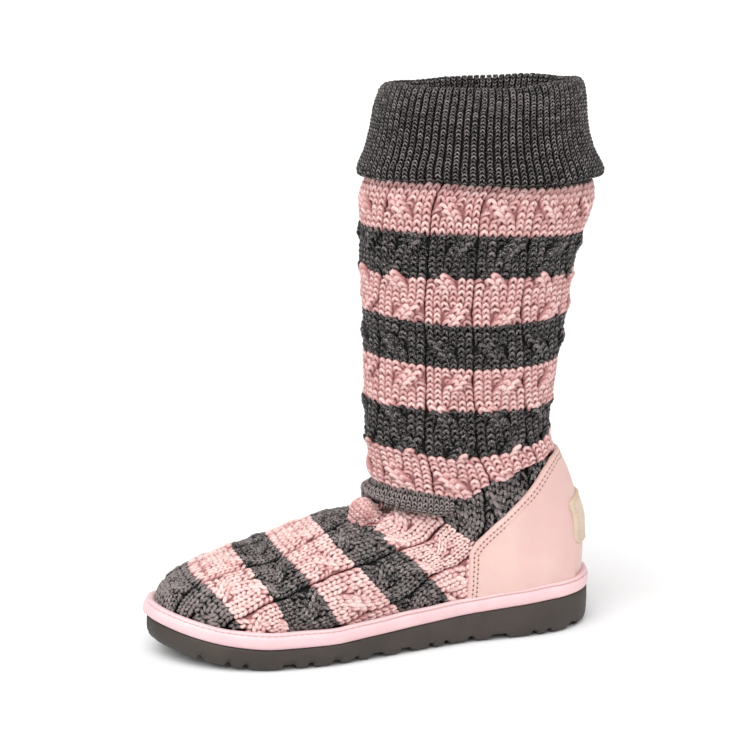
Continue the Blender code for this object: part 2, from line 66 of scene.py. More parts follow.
def curves(table, at):
    """Smooth curves through the columns of a table, which never overshoot their points."""
    xs, *ys = [np.array(column, float) for column in table.values()]
    ys = np.array(ys)
    step = np.diff(xs)
    slope = np.diff(ys) / step
    near, far = 2 * step[1:] + step[:-1], step[1:] + 2 * step[:-1]
    same = slope[:, :-1] * slope[:, 1:] > 0
    before, after = [np.where(same, s, 1.0) for s in (slope[:, :-1], slope[:, 1:])]
    tangent = np.append(slope, slope[:, -1:], 1)
    tangent[:, 1:-1] = np.where(same, (near + far) / (near / before + far / after), 0.0)
    at = np.clip(at, xs[0], xs[-1])
    i = np.clip(np.searchsorted(xs, at) - 1, 0, len(step) - 1)
    t = (at - xs[i]) / step[i]
    return ((1 + 2 * t) * (1 - t) ** 2 * ys[:, i] + t * (1 - t) ** 2 * step[i] * tangent[:, i]
            + t * t * (3 - 2 * t) * ys[:, i + 1] + t * t * (t - 1) * step[i] * tangent[:, i + 1])


def smooth_step(value, low, high):
    """0 below the low value, 1 above the high one, and a soft change between."""
    t = np.clip((value - low) / (high - low), 0, 1)
    return t * t * (3 - 2 * t)


def bell(value, middle, width):
    """A bell-shaped swell, 1 at its middle."""
    return np.exp(-((value - middle) / width) ** 2)


def along_sole(x):
    """Share of the sole's length between its heel and a place."""
    return (LENGTH / 2 - x) / LENGTH


def toe_lift(x):
    """How far the toe springs up from the floor."""
    return TOE_SPRING * np.clip((along_sole(x) - .74) / .26, 0, 1) ** 2


def sole_top(x):
    """Height of the top of the sole."""
    forward = np.clip((along_sole(x) - .12) / .5, 0, 1)
    return HEEL_THICK - (HEEL_THICK - BALL_THICK) * forward + toe_lift(x) - DATUM


def sole_bottom(x):
    """Height of the tread, which arches a little at the waist."""
    waist = np.clip(1 - ((x - 44.0) / 34.0) ** 2, 0, 1)
    return toe_lift(x) + .5 * waist ** 2 - DATUM


def shade(r, g, b):
    """A colour given as it looks, 0 to 255, in the renderer's own scale."""
    value = np.array([r, g, b], float) / 255
    value = np.where(value <= .04045, value / 12.92, ((value + .055) / 1.055) ** 2.4)
    return (*[float(c) for c in value], 1.0)


class Wire:
    """One value on a material's node tree. Arithmetic on it adds Math nodes."""

    def __init__(self, tree, socket=None):
        self.tree = tree
        self.socket = socket

    def node(self, kind, settings=None, inputs=None, output=0):
        made = self.tree.nodes.new(kind)
        for key, value in (settings or {}).items():
            setattr(made, key, value)
        for key, value in (inputs or {}).items():
            if isinstance(value, Wire):
                self.tree.links.new(value.socket, made.inputs[key])
            else:
                made.inputs[key].default_value = value
        return Wire(self.tree, made.outputs[output])

    def maths(self, operation, first, second=0.0):
        return self.node("ShaderNodeMath", {"operation": operation}, {0: first, 1: second})

    def __add__(self, other):
        return self.maths("ADD", self, other)

    def __radd__(self, other):
        return self.maths("ADD", other, self)

    def __sub__(self, other):
        return self.maths("SUBTRACT", self, other)

    def __rsub__(self, other):
        return self.maths("SUBTRACT", other, self)

    def __mul__(self, other):
        return self.maths("MULTIPLY", self, other)

    def __rmul__(self, other):
        return self.maths("MULTIPLY", other, self)

    def soft_step(self, low, high):
        return self.node("ShaderNodeMapRange", {"interpolation_type": "SMOOTHSTEP"},
                         {0: self, 1: low, 2: high, 3: 0.0, 4: 1.0})

    def between(self, first, second):
        first, second = [c if isinstance(c, Wire) else shade(*c) for c in (first, second)]
        return self.node("ShaderNodeMix", {"data_type": "RGBA"}, {0: self, 6: first, 7: second}, 2)

    def mark(self, name):
        return self.node("ShaderNodeAttribute", {"attribute_name": name}, output="Fac")

    def stretched(self, x, y, z):
        return self.node("ShaderNodeVectorMath", {"operation": "MULTIPLY"}, {0: self, 1: (x, y, z)})

    def noise(self, scale, detail=2.0, rough=0.5):
        return self.node("ShaderNodeTexNoise", {"noise_dimensions": "3D"},
                         {"Vector": self, "Scale": scale, "Detail": detail, "Roughness": rough})

    def relief(self, distance, strength):
        return self.node("ShaderNodeBump", None,
                         {"Height": self, "Distance": distance, "Strength": strength})


def new_finish(name, roughness, sheen=0.0, coat=0.0):
    """A material, its shader, and the wire of places on the boot that its nodes start from."""
    made = bpy.data.materials.new(name)
    made.use_nodes = True
    shader = made.node_tree.nodes["Principled BSDF"]
    shader.inputs["Roughness"].default_value = roughness
    shader.inputs["Sheen Weight"].default_value = sheen
    shader.inputs["Sheen Roughness"].default_value = 0.6
    shader.inputs["Coat Weight"].default_value = coat
    return made, shader, Wire(made.node_tree).node("ShaderNodeTexCoord", output="Object")


def dress(shader, colour, normal=None, roughness=None):
    """Join what changes over the surface to a finish's shader."""
    for socket, wire in (("Base Color", colour), ("Normal", normal), ("Roughness", roughness)):
        if wire:
            wire.tree.links.new(wire.socket, shader.inputs[socket])


def piece(name, points, faces, finish, slot, stands_for_it=False, marks=None):
    """A mesh from points in millimetres that rides on the boot; if it stands for its piece, that piece's own
    mesh is hidden.
    """
    faces = [np.asarray(f, np.int32) for f in (faces if isinstance(faces, list) else [faces])]
    points = (np.asarray(points, float).reshape(-1, 3) + (MIDDLE, 0, DATUM)) * 0.001
    used, corners = np.unique(np.concatenate([f.ravel() for f in faces]), return_inverse=True)
    sizes = np.concatenate([np.full(len(f), f.shape[1]) for f in faces])
    starts = np.concatenate([[0], np.cumsum(sizes)[:-1]]).astype(np.int32)
    mesh = bpy.data.meshes.new(name)
    mesh.vertices.add(len(used))
    mesh.vertices.foreach_set("co", points[used].astype(np.float32).ravel())
    mesh.loops.add(len(corners))
    mesh.loops.foreach_set("vertex_index", corners.astype(np.int32).ravel())
    mesh.polygons.add(len(sizes))
    mesh.polygons.foreach_set("loop_start", starts)
    mesh.update(calc_edges=True)
    mesh.validate()
    for key, value in (marks or {}).items():
        value = np.asarray(value, np.float32).ravel()[used]
        mesh.attributes.new(key, "FLOAT", "POINT").data.foreach_set("value", value)
    mesh.shade_smooth()
    mesh.materials.append(finish)
    obj = bpy.data.objects.new(name, mesh)
    bpy.context.scene.collection.objects.link(obj)
    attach(obj, "root")
    if stands_for_it:
        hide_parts(slot)


def quads(index):
    """Four-cornered faces over the last two directions of a grid of point numbers."""
    return np.stack([index[..., :-1, :-1], index[..., :-1, 1:],
                     index[..., 1:, 1:], index[..., 1:, :-1]], -1).reshape(-1, 4)


def sheet_faces(rows, columns, closed=False, flip=False):
    """Faces over a sheet of points; closed joins the last column to the first."""
    index = np.arange(rows * columns).reshape(rows, columns)
    if closed:
        index = np.concatenate([index, index[:, :1]], 1)
    return quads(index)[:, ::-1] if flip else quads(index)


def parts(points):
    """The x, y and z of points."""
    return np.moveaxis(points, -1, 0)


def unit(v):
    """Directions of length one."""
    return v / np.maximum(np.linalg.norm(v, axis=-1, keepdims=True), 1e-6)


def rim_loop():
    """Points round the edge of the sole with their level outward directions."""
    x = LENGTH / 2 * np.cos(np.linspace(0, math.pi, RIM_STATIONS))
    lateral, medial = curves(SOLE, along_sole(x))
    loop = np.concatenate([np.stack([x, -lateral], 1), np.stack([x, medial], 1)[-2:0:-1]])
    run = np.roll(loop, -1, 0) - np.roll(loop, 1, 0)
    for _ in range(2):
        run = (np.roll(run, 1, 0) + 2 * run + np.roll(run, -1, 0)) / 4
    run = unit(run)
    out = np.stack([run[:, 1], -run[:, 0]], 1)
    return loop, out * np.sign((out * loop).sum())


def tread_groove(x, y):
    """How deep the moulded grooves of the tread are at a place, from 0 to 1."""
    depth = np.zeros(np.shape(x))
    for at, width in TREAD_GROOVES:
        from_middle = np.abs(x - at - 0.05 * y * math.copysign(1.0, at + 10.0))
        depth = np.maximum(depth, 1 - smooth_step(from_middle, width / 2 - .5, width / 2 + .6))
    return depth


rim, rim_out = rim_loop()
rim_low, rim_high = sole_bottom(rim[:, 0]), sole_top(rim[:, 0])
rings = []
# the side wall from the top down: distance in from the rim, share of the wall's height, extra
for inset, share, more in ((6.5, 1.0, 0.0), (1.6, 1.0, 0.0), (0.5, 1.0, -.25), (0.0, 1.0, -1.1),
                           (-.15, .62, 0.0), (0.0, .36, 0.0)):
    z = rim_low + (rim_high - rim_low) * share + more
    rings.append(np.column_stack([rim - rim_out * inset, z]))
# the rounded edge of the tread: distance in, height, share of the full depth of the grooves
for inset, rise, cut in ((.35, 4.0, .25), (1.2, 1.9, .7), (2.5, .6, 1.0), (4.2, 0.0, 1.0)):
    ring = rim - rim_out * inset
    z = sole_bottom(ring[:, 0]) + rise + GROOVE_DEPTH * cut * tread_groove(*ring.T)
    rings.append(np.column_stack([ring, z]))
points = [np.concatenate(rings)]
faces = [sheet_faces(len(rings), len(rim), closed=True)]
lateral = np.arange(1, RIM_STATIONS - 1)
medial = (len(rim) - lateral) % len(rim)
across = np.linspace(0, 1, 26)[1:-1]
for level, bottom in ((0, False), (len(rings) - 1, True)):
    near, far = rings[level][lateral][:, None], rings[level][medial][:, None]
    grid = near * (1 - across[:, None]) + far * across[:, None]
    if bottom:
        channel = 1 - smooth_step(np.abs(np.abs(across - .5) - .2), .012, .03)
        depth = np.maximum(tread_groove(grid[..., 0], grid[..., 1]), .5 * channel)
        grid[..., 2] = sole_bottom(grid[..., 0]) + GROOVE_DEPTH * depth
    first = level * len(rim)
    index = sum(map(len, points)) + np.arange(grid[..., 0].size).reshape(grid.shape[:2])
    index = np.concatenate([first + lateral[:, None], index, first + medial[:, None]], 1)
    faces.append(quads(index) if bottom else quads(index)[:, ::-1])
    for row, tip in ((0, 0), (-1, RIM_STATIONS - 1)):
        fan = np.stack([np.full(len(across) + 1, first + tip), index[row, :-1], index[row, 1:]], -1)
        faces.append(fan if (row == 0) != bottom else fan[:, ::-1])
    points.append(grid.reshape(-1, 3))

rubber, shader, place = new_finish("brown_rubber", .62)
cloud = place.noise(38.0, 4.0, .6)
grain = place.noise(2400.0, 3.0, .6) + .6 * place.noise(500.0)
dress(shader, cloud.soft_step(.3, .7).between((53, 45, 40), (63, 55, 49)),
      grain.relief(.00012, .5), .54 + .18 * cloud)
piece("outsole_rubber", np.concatenate(points), faces, rubber, "outsole", stands_for_it=True)

# ================================================================ rand
# The rand is a round-backed strip of pale pink leather board, pulled round the foot where
# the knit meets the rubber, and sewn down by one row of thread just under its top edge.

# section of the strip: distance out from the rim of the sole, and height above the sole
RAND_SECTION = [
    (-2.4, .05), (-1.1, .1), (-.3, .5), (.4, 1.5), (.75, 3.0), (.9, 4.8), (.8, 6.4), (.5, 7.25),
    (-.05, 7.75), (-.3, 8.1), (-.05, 8.4), (-.05, 8.85), (-.5, 9.35), (-1.3, 9.55),
    (-2.3, 9.55), (-3.3, 9.2), (-4.4, 8.2), (-5.0, 6.2), (-5.0, 1.0),
]
SEWN = (-.3, 8.1)       # bottom of the groove that the thread lies in
SEWN_POINTS = (8, 9, 10)
RAND_STITCH = 3.7       # from one stitch to the next
STITCH_ARCH = np.sin(np.linspace(0, math.pi, 6))    # how a stitch rises out of the leather


def lengths_along(path):
    """Distance from the start of a path to each of its points."""
    steps = np.linalg.norm(np.diff(path, axis=0), axis=1)
    return np.concatenate([[0], np.cumsum(steps)])


def walk(path, distances, carried=None):
    """Points of a path at distances along it, or values that its points carry."""
    run = lengths_along(path)
    carried = path if carried is None else carried
    return np.stack([np.interp(distances, run, column) for column in carried.T], -1)


def seam_stitches(path, pitch, first, last):
    """Distances of the points of each stitch along a seam that closes on itself."""
    total = lengths_along(path)[-1]
    count = int(total / pitch)
    return (np.arange(count)[:, None] / count * total + np.linspace(first, last, 6)) % total


STANDSTILL = 1e-9       # keeps a yarn from dividing by zero where its path stands still


def yarn(path, away, wide, thick, across=5, **marks):
    """Round-backed strands along paths (strands, steps, 3), with half widths and heights."""
    run = np.gradient(path, axis=1)
    run /= np.linalg.norm(run, axis=-1, keepdims=True) + STANDSTILL
    side = np.cross(run, away)
    side /= np.linalg.norm(side, axis=-1, keepdims=True) + STANDSTILL
    up = np.cross(side, run)
    turn = np.linspace(-1.85, 1.85, across)
    wide, thick = [np.broadcast_to(v, path.shape[:2])[:, :, None, None] for v in (wide, thick)]
    points = (path[:, :, None] + side[:, :, None] * np.sin(turn)[:, None] * wide
              + up[:, :, None] * np.cos(turn)[:, None] * thick)
    steps = np.linalg.norm(np.diff(path, axis=1, prepend=path[:, :1]), axis=-1)
    marks["along"] = np.cumsum(steps, 1)
    marks = {k: np.broadcast_to(v[:, :, None], points.shape[:3]) for k, v in marks.items()}
    return points, marks | {"around": np.broadcast_to(turn, points.shape[:3])}


def lay(name, points, finish, slot, marks=None, pick=slice(None)):
    """Strands as one piece, or those of them that are picked."""
    points = points[pick]
    index = np.arange(points[..., 0].size).reshape(points.shape[:3])
    piece(name, points, quads(index), finish, slot, marks={k: v[pick] for k, v in (marks or {}).items()})


def thread_finish(name, dark, light, scale, lie=1.0, relief=.0001):
    """Twisted sewing thread in two tones."""
    thread, shader, place = new_finish(name, .7, sheen=.2)
    twist = place.stretched(1, 1, lie).noise(scale)
    dress(shader, twist.between(dark, light), twist.relief(relief, .6) if relief else None)
    return thread


wave = np.sin(rim[:, 0] * .21) * .12 + np.sin(rim[:, 0] * .083 + 1) * .15
toe = 1.4 * smooth_step(-rim[:, 0], 108, 130)
rings = []
for reach, rise in RAND_SECTION:
    swell = toe * math.sin(math.pi * min(rise / 7.6, 1)) + wave
    ring = rim + rim_out * (reach + swell * (reach > 0))[:, None]
    rings.append(np.column_stack([ring, rim_high + rise + wave * (rise > 7)]))
# painted shade in the stitching groove, less of it toward the toe
groove_shade_share = .45 + .55 * smooth_step(rim[:, 0], -50, 10)
groove_shade = [groove_shade_share * (k in SEWN_POINTS) for k in range(len(RAND_SECTION))]
rand_leather, shader, place = new_finish("pink_rand_leather", .42, coat=.12)
cloud = place.noise(60.0, 3.0, .6)
skin = cloud.soft_step(.3, .75).between((229, 190, 194), (237, 201, 203))
# painted shade in the groove under the top edge
skin = place.mark("groove_shade").soft_step(.2, 1.0).between(skin, (208, 166, 165))
crease = place.stretched(1, 1, .35).noise(420.0, 4.0, .65) + .5 * place.noise(2600.0)
dress(shader, skin, crease.relief(.0002, .5), .36 + .2 * cloud)
piece("rand_strip", rings, sheet_faces(len(rings), len(rim), closed=True, flip=True), rand_leather,
      "rand", stands_for_it=True, marks={"groove_shade": groove_shade})

edge = np.column_stack([rim + rim_out * (SEWN[0] + .05), rim_high + SEWN[1]])
edge, edge_out = [np.concatenate([v, v[:1]]) for v in (edge, np.column_stack([rim_out, 0 * toe]))]
at = seam_stitches(edge, RAND_STITCH, 0, 2.7)
away = walk(edge, at, edge_out)
path = walk(edge, at) + away * (-.3 + .4 * STITCH_ARCH ** .5)[:, None]
points, _ = yarn(path, away, .36, .34)
thread = thread_finish("rand_thread", (186, 146, 140), (222, 184, 178), 2600.0, lie=2.5)
lay("rand_stitching", points, thread, "rand")

# ================================================================ striped knit upper
# The upper is knitted in chunky wool as one tube: stripes of eight rows in pink and in
# heathered grey, panels of six plaited wales between narrow purl grooves. It is pulled over
# the last, sewn up the back, tucked under the rand, and folds softly where the ankle bends.

# the foot of the last, at distances from the heel: its ridge, its middle, its widest level
FOOT = {
    "at":     [0.0, 30., 80., 125., 142., 152., 171., 180., 198., 217., 227., 236., 243., 249.,
               254., 258., 260.5],
    "ridge":  [50., 60., 78., 78.5, 77.3, 73.8, 66.6, 63.0, 56.8, 51.4, 48.6, 46.6, 44.5, 41.5,
               38., 33.5, 28.],
    "offset": [0., 0., 0., 1., 2., 3., 4., 5., 6., 6., 5., 4., 3., 3., 3., 3., 3.],
    "widest": [34., 36., 37., 36., 35., 34., 33., 32., 31., 30., 30., 29., 29., 28., 27., 26., 25.],
    "round":  [2.1, 2.1, 2.1, 2.1, 2.1, 2.1, 2.1, 2.15, 2.2, 2.3, 2.3, 2.3, 2.3, 2.2, 2.2, 2.1, 2.1],
}
FOOT_INSET = 4.6        # the last stands this far inside the rim of the sole
# the shaft of the last, at heights
SHAFT = {
    "at":     [10., 25., 40., 60., 75., 90., 105., 120., 140., 170., 200., 230., 250., 257., 264.],
    "front":  [0.0, 0.0, 0.0, 0.0, 0.0, -0.4, -1.0, -3.3, -3.3, -3.6, -4.8, -5.6, -6.0, -5.2, -1.6],
    "back":   [124.4, 124.9, 125.5, 124.9, 120.5, 115.1, 108.5, 104.6, 106.7, 111.3, 115.2, 121.5,
               128.3, 128.9, 126.],
    "half":   [27.5, 29.5, 31.5, 32.5, 33., 34., 36., 38.5, 41., 44., 46.5, 49., 51., 50.6, 47.6],
    "square": [2.4, 2.4, 2.4, 2.4, 2.35, 2.3, 2.2, 2.15, 2.1, 2.1, 2.1, 2.1, 2.1, 2.1, 2.1],
}
ANKLE_BLEND = 7.0       # how softly foot and shaft run into each other
SHAFT_MIDDLE = 63.0     # a line up the middle of the shaft
SOCK_RAYS = 480
# height of the line between two stripes of the shaft, at places from front to back
SHAFT_PLACES = [-8., 6., 24., 47., 65., 86., 100., 130.]
SHAFT_STRIPES = {
    -2: [270.0, 271.0, 271.5, 270.0, 268.5, 267.0, 267.0, 267.5],
    0: [263.5, 264.5, 265.0, 263.5, 262.0, 260.5, 260.5, 261.0],
    8: [238.0, 237.5, 237.0, 236.0, 234.5, 233.5, 232.0, 231.5],
    16: [212.5, 212.5, 212.5, 212.5, 212.0, 211.0, 210.0, 209.0],
    24: [190.5, 189.0, 187.0, 185.0, 185.0, 185.5, 186.0, 186.5],
    32: [166.0, 164.5, 162.5, 160.5, 160.0, 159.5, 160.0, 160.0],
    40: [139.0, 138.5, 137.5, 136.0, 135.0, 134.0, 133.5, 133.5],
    48: [113.5, 113.5, 110.0, 108.0, 109.5, 112.0, 115.0, 117.0],
    56: [90.0, 89.5, 87.0, 83.0, 85.0, 88.0, 92.0, 95.0],
    64: [73.0, 72.5, 69.5, 66.0, 67.0, 70.0, 74.0, 77.0],
}
# lines between two stripes of the foot seen from the side: from the instep down to the rand
FOOT_STRIPES = {
    "row":    [40., 44., 56., 64., 72., 80., 88., 96., 104., 112., 116.],
    "x_top":  [0., 0., 0., 0., -17., -33., -61.4, -80.8, -109., -127., -134.],
    "z_top":  [131., 118., 93., 84., 73.5, 67., 59., 52.6, 45., 33.5, 26.],
    "x_low":  [130., 130., 100., 72., 38., 5., -31., -61., -87., -110., -119.],
    "z_low":  [112., 98., 37., 18.5, 22., 23., 19.6, 21., 22., 13., 8.],
    "bow":    [6., 6., 8., 6., 7., 1., 5., 6., 6., 4., 2.],
}
# the purl grooves: distance round from the front line of the boot, at a few rows
GROOVE_LINES = {
    "row": [0., 20., 36., 48., 56., 60., 64., 68., 72., 76., 84., 92., 100., 112.],
    "a":   [25., 17., 14., 12., 12.7, 13., 13.5, 14., 14.5, 15., 18.5, 22., 17., 19.],
    "b":   [54., 46.7, 45., 43., 43.7, 54., 48.5, 47., 49., 48., 46.5, 49.5, 50., 49.],
    "c":   [81., 73.5, 72., 73.5, 79., 79., 73., 69.5, 74., 79., 80., 80., 80., 80.],
    "d":   [113., 103., 104., 107., 108., 109., 110., 110., 110., 110., 110., 110., 110., 110.],
}
# lower edge of the shaft where it hangs over the foot of the sock
FOLD_EDGE = ([-20., 0., 15.6, 30.8, 38., 44.5, 57.6, 83.1, 100., 104., 108., 135.],
             [79.0, 79.0, 77.0, 73.6, 76.5, 82.3, 91.0, 99.4, 104.5, 105.5, 102.5, 98.])
KNOB = np.array([-7.8, -6.9, 73.6])     # middle of the ball of cloth at the ankle
KNOB_REACH = 9.8
KNOB_RADIUS = 8.2
CROSSINGS = [3.8 + 6.15 * k for k in range(18)]     # rows at which the strands of a plait cross


def foot_distance(x, y, z):
    """Below zero inside the foot part of the last."""
    from_heel = LENGTH / 2 - FOOT_INSET - x
    span = LENGTH - 2 * FOOT_INSET
    share = np.clip(from_heel / span, 0, 1)
    shrink = FOOT_INSET * np.clip(16 * np.minimum(share, 1 - share), 0, 1)
    ridge, offset, widest, power = curves(FOOT, LENGTH / 2 - x)
    lateral, medial = curves(SOLE, share) - shrink
    side = np.maximum(np.where(y < offset, lateral + offset, medial - offset), 0.5)
    low = np.clip((widest - z) / 12.0, 0, 1.5)
    width = side * 1.04 * (1 - 0.045 * low ** 2)
    up = np.clip((z - widest) / (ridge - widest), 0, None)
    r = ((np.abs(y - offset) / width) ** power + up ** power) ** (1 / power)
    ends = np.maximum(15.0 - from_heel, from_heel - span)
    return np.maximum((r - 1) * np.clip(side, 20.0, ridge - 10), ends)


def shaft_distance(x, y, z):
    """Below zero inside the shaft and the heel."""
    front, back, half, square = curves(SHAFT, z)
    centre = (front + back) / 2
    reach = (back - front) / 2
    power = np.where(x > centre, square, 2.1)
    r = ((np.abs(x - centre) / reach) ** power + (np.abs(y) / half) ** power) ** (1 / power)
    return (r - 1) * half


def upper_distance(x, y, z):
    """Below zero inside the whole last."""
    foot = foot_distance(x, y, z)
    shaft = shaft_distance(x, y, z)
    mix = np.clip(0.5 + 0.5 * (shaft - foot) / ANKLE_BLEND, 0, 1)
    return shaft * (1 - mix) + foot * mix - ANKLE_BLEND * mix * (1 - mix)


def on_last(place, near, far):
    """Points where rays meet the last; place(reach) gives x, y and z along the rays."""
    for _ in range(26):
        mid = (near + far) / 2
        inside = upper_distance(*place(mid)) < 0
        near = np.where(inside, mid, near)
        far = np.where(inside, far, mid)
    return np.stack(place(near), -1)


def rings_of_last(height, centre, rays):
    """Closed rings of points on the last; height(x) gives each ring's height."""
    angle = math.pi + np.linspace(0, 2 * math.pi, rays, endpoint=False)

    def place(reach):
        x = centre[:, None] + reach * np.cos(angle)
        return x, reach * np.sin(angle), height(x)
    return on_last(place, np.full((len(centre), rays), 2.0), np.full((len(centre), rays), 230.0))


def ring_over_sole(rise, rays):
    """Ring of points on the last at a height above the top of the sole."""
    return rings_of_last(lambda x: sole_top(x) + rise, np.array([22.0]), rays)[0]


def outward(points):
    """Directions away from the last."""
    steps = 0.4 * np.eye(3)
    return unit(np.stack([upper_distance(*parts(points + step)) - upper_distance(*parts(points - step))
                          for step in steps], -1))


def blend_rows(stack, lines, rows):
    """Values between the lines of a table for rows in between."""
    lines = np.array(lines, float)
    k = np.clip(np.searchsorted(lines, rows) - 1, 0, len(lines) - 2)
    t = ((rows - lines[k]) / (lines[k + 1] - lines[k]))[:, None]
    pick = np.arange(len(rows))
    return stack[k, pick] * (1 - t) + stack[k + 1, pick] * t


def shaft_lines(x):
    """Heights of all lines between stripes of the shaft at any place along the boot."""
    return np.stack([np.interp(x, SHAFT_PLACES, heights) for heights in SHAFT_STRIPES.values()])


def shaft_row(rows):
    """Height of rows of the shaft, as a function of the place along the boot."""
    return lambda x: blend_rows(shaft_lines(x), list(SHAFT_STRIPES), rows)


def foot_row(rows):
    """Height of rows of the foot, as a function of the place along the boot."""
    def height(x):
        stack = []
        for x0, z0, x1, z1, bow in zip(*list(FOOT_STRIPES.values())[1:]):
            t = (x - x0) / (x1 - x0)
            inner = np.clip(t, 0, 1)
            stack.append(z0 + (z1 - z0) * t + 4 * bow * inner * (1 - inner))
        return blend_rows(np.stack(stack), FOOT_STRIPES["row"], rows)
    return height


def foot_middle(rows):
    """A place on each row of the foot that is well inside the last."""
    top, low = [np.interp(rows, FOOT_STRIPES["row"], FOOT_STRIPES[c]) for c in ("x_top", "x_low")]
    return .45 * low + .55 * top


def under_fold(x, z):
    """How far below the hanging edge of the shaft a place is."""
    return np.interp(x, *FOLD_EDGE) - z


def shaft_relief(p):
    """Soft rolls of the shaft: the rolled hem over the ankle and the edge behind it."""
    x, y, z = parts(p)
    above = -under_fold(x, z)
    front = 1 - smooth_step(x, 22, 44)
    behind = smooth_step(x, 40, 58) * (1 - smooth_step(x, 98, 106))
    roll = 5.2 * np.sqrt(np.clip(1 - ((above - 4.6) / 5.0) ** 2, 0, 1)) - 2.4 * bell(above, 10.6, 1.5)
    hang = 2.6 * np.sqrt(np.clip(1 - ((above - 4.5) / 6.5) ** 2, 0, 1))
    tuck = -7.5 * smooth_step(-above, -.8, 1.8)
    waves = 0.7 * np.sin(z * .11 + x * .05) * smooth_step(z, 90, 120) * (1 - smooth_step(z, 235, 255))
    return front * roll + behind * hang + tuck * np.maximum(front, .6 * behind) + waves * np.sign(-y) * .5


def foot_relief(p):
    """Soft folds of the foot: a hollow under the shaft, a knob of cloth, small drags."""
    x, y, z = parts(p)
    below = under_fold(x, z)
    front = 1 - smooth_step(x, 16, 58)
    sunk = -3.2 * smooth_step(x, -26, -11) * front * smooth_step(z, 56, 68)
    trough = -(1.2 + 2.6 * front) * bell(below, .6, 1.8) * (1 - smooth_step(-x, 0, 9))
    lobes = (2.2 + .5 * np.cos(1.43 * x)) * bell(below, 3.6, 1.9) - 1.9 * bell(below, 7.4, 2.0)
    lobes *= smooth_step(x, -1, 5) * (1 - smooth_step(x, 22, 36))
    away = np.sqrt((x + 7.7) ** 2 + (y + 7.7) ** 2 + (z - 73.0) ** 2)
    under = -3.2 * bell(away, 11.8, 2.0) * smooth_step(x + .4 * (75 - z), -16, -2)
    under *= smooth_step(below, -1, 2)
    drag = -1.3 * bell(z + .12 * (x + 4), 58.5, 2.4) * bell(x, -2, 13)
    swell = bell(z + .3 * (x + 15), 64.5, 4.5) * bell(x, -17, 13)
    return (sunk + trough + under + (lobes + drag + swell) * (y < 0)) * smooth_step(below, -3, .5)


def in_knob(p):
    """Whether places belong to the ball of cloth."""
    return np.linalg.norm(p - KNOB, axis=-1) < KNOB_REACH


def ankle_knob(sheet):
    """The sheet with a small ball of cloth squeezed out where the ankle bends."""
    axis = unit(np.array([-.42, -.60, .68]))
    away = sheet - KNOB
    height = away @ axis
    flat = away - height[..., None] * axis
    far = np.linalg.norm(flat, axis=-1)
    turn = np.clip(far / 10.3, 0, 1)[..., None] * math.pi / 2
    level = flat / np.maximum(far, .01)[..., None]
    ball = KNOB + KNOB_RADIUS * (np.sin(turn) * level + np.cos(turn) * axis)
    weight = (1 - smooth_step(far, 9.2, 12.0)) * smooth_step(height, -14, -10)
    return sheet + (ball - sheet) * weight[..., None]


def eased(lines, rounds=1):
    """Each line but the first and last drawn halfway toward the middle of its neighbours."""
    for _ in range(rounds):
        lines[1:-1] = (lines[:-2] + 2 * lines[1:-1] + lines[2:]) / 4
    return lines


class Cloth:
    """A sheet of knit on a grid: rows one way, and places round the boot the other way."""

    def __init__(self, rows, side, sheet, half=None, turned=False):
        self.rows = rows
        self.side = side
        self.sheet = sheet
        self.half = half
        normal = unit(np.cross(np.gradient(sheet, axis=0), np.gradient(sheet, axis=1)))
        for _ in range(2):
            eased(normal.swapaxes(0, 1))
            eased(normal)
        self.normal = unit(-normal if turned else normal)

    def at(self, row, side, rise=0.0):
        """Points of the sheet, raised from it, and the directions away from it."""
        i = np.clip((row - self.rows[0]) / (self.rows[1] - self.rows[0]), 0, len(self.rows) - 1.001)
        j = np.clip((side - self.side[0]) / (self.side[1] - self.side[0]), 0, len(self.side) - 1.001)
        a, b = np.floor(i).astype(int), np.floor(j).astype(int)
        s, t = (i - a)[..., None], (j - b)[..., None]
        point, normal = [(grid[a, b] * (1 - s) + grid[a + 1, b] * s) * (1 - t)
                         + (grid[a, b + 1] * (1 - s) + grid[a + 1, b + 1] * s) * t
                         for grid in (self.sheet, self.normal)]
        return point + normal * np.asarray(rise, float)[..., None], normal

    def seam(self, row):
        """Distance round to the back seam at a row."""
        return np.interp(row, self.rows, self.half)


def sock(row_height, first, last, centre, reach, relief, knob=False):
    """The part of the knitted tube between two rows, pulled over the last."""
    rows = np.arange(first, last + .01, .5)
    side = np.arange(-reach, reach + 1.0)
    sheet = np.empty((len(rows), len(side), 3))
    half = np.empty(len(rows))
    back = SOCK_RAYS // 2
    for i, ring in enumerate(rings_of_last(row_height(rows), centre(rows), SOCK_RAYS)):
        lateral, medial = ring[:back + 1], np.concatenate([ring[:1], ring[:back - 1:-1]])
        sheet[i, side >= 0] = walk(lateral, side[side >= 0])
        sheet[i, side < 0] = walk(medial, -side[side < 0])
        half[i] = lengths_along(medial)[-1]
    sheet = sheet + Cloth(rows, side, sheet).normal * relief(sheet)[..., None]
    if knob:
        sheet = ankle_knob(sheet)
    return Cloth(rows, side, eased(sheet, 2), half)


def counter_front(z):
    """Front edge of the heel leather at a height."""
    return np.interp(z, [0., 52., 57.6, 62.5, 67., 75.5, 86., 98.2, 102.6, 104., 104.1],
                     [46.5, 47.5, 51.1, 56.4, 61.7, 71.9, 83.2, 94.0, 99.8, 106.4, 400.])


def shaft_kept(p):
    """Where the shaft has stitches: above its hanging edge and in front of the heel leather."""
    x, _, z = parts(p)
    return (under_fold(x, z) < .5) & ~((z < 102.5) & (x > counter_front(z) + 2.0))


def foot_kept(p):
    """Where the foot has stitches: under the shaft, over the rand and before the leather."""
    x, _, z = parts(p)
    return ((under_fold(x, z) > -1.5) & (z > sole_top(x) + 7.2) & (x < 106)
            & ~((x > counter_front(z) + 3.0) & (z < 102.0)))


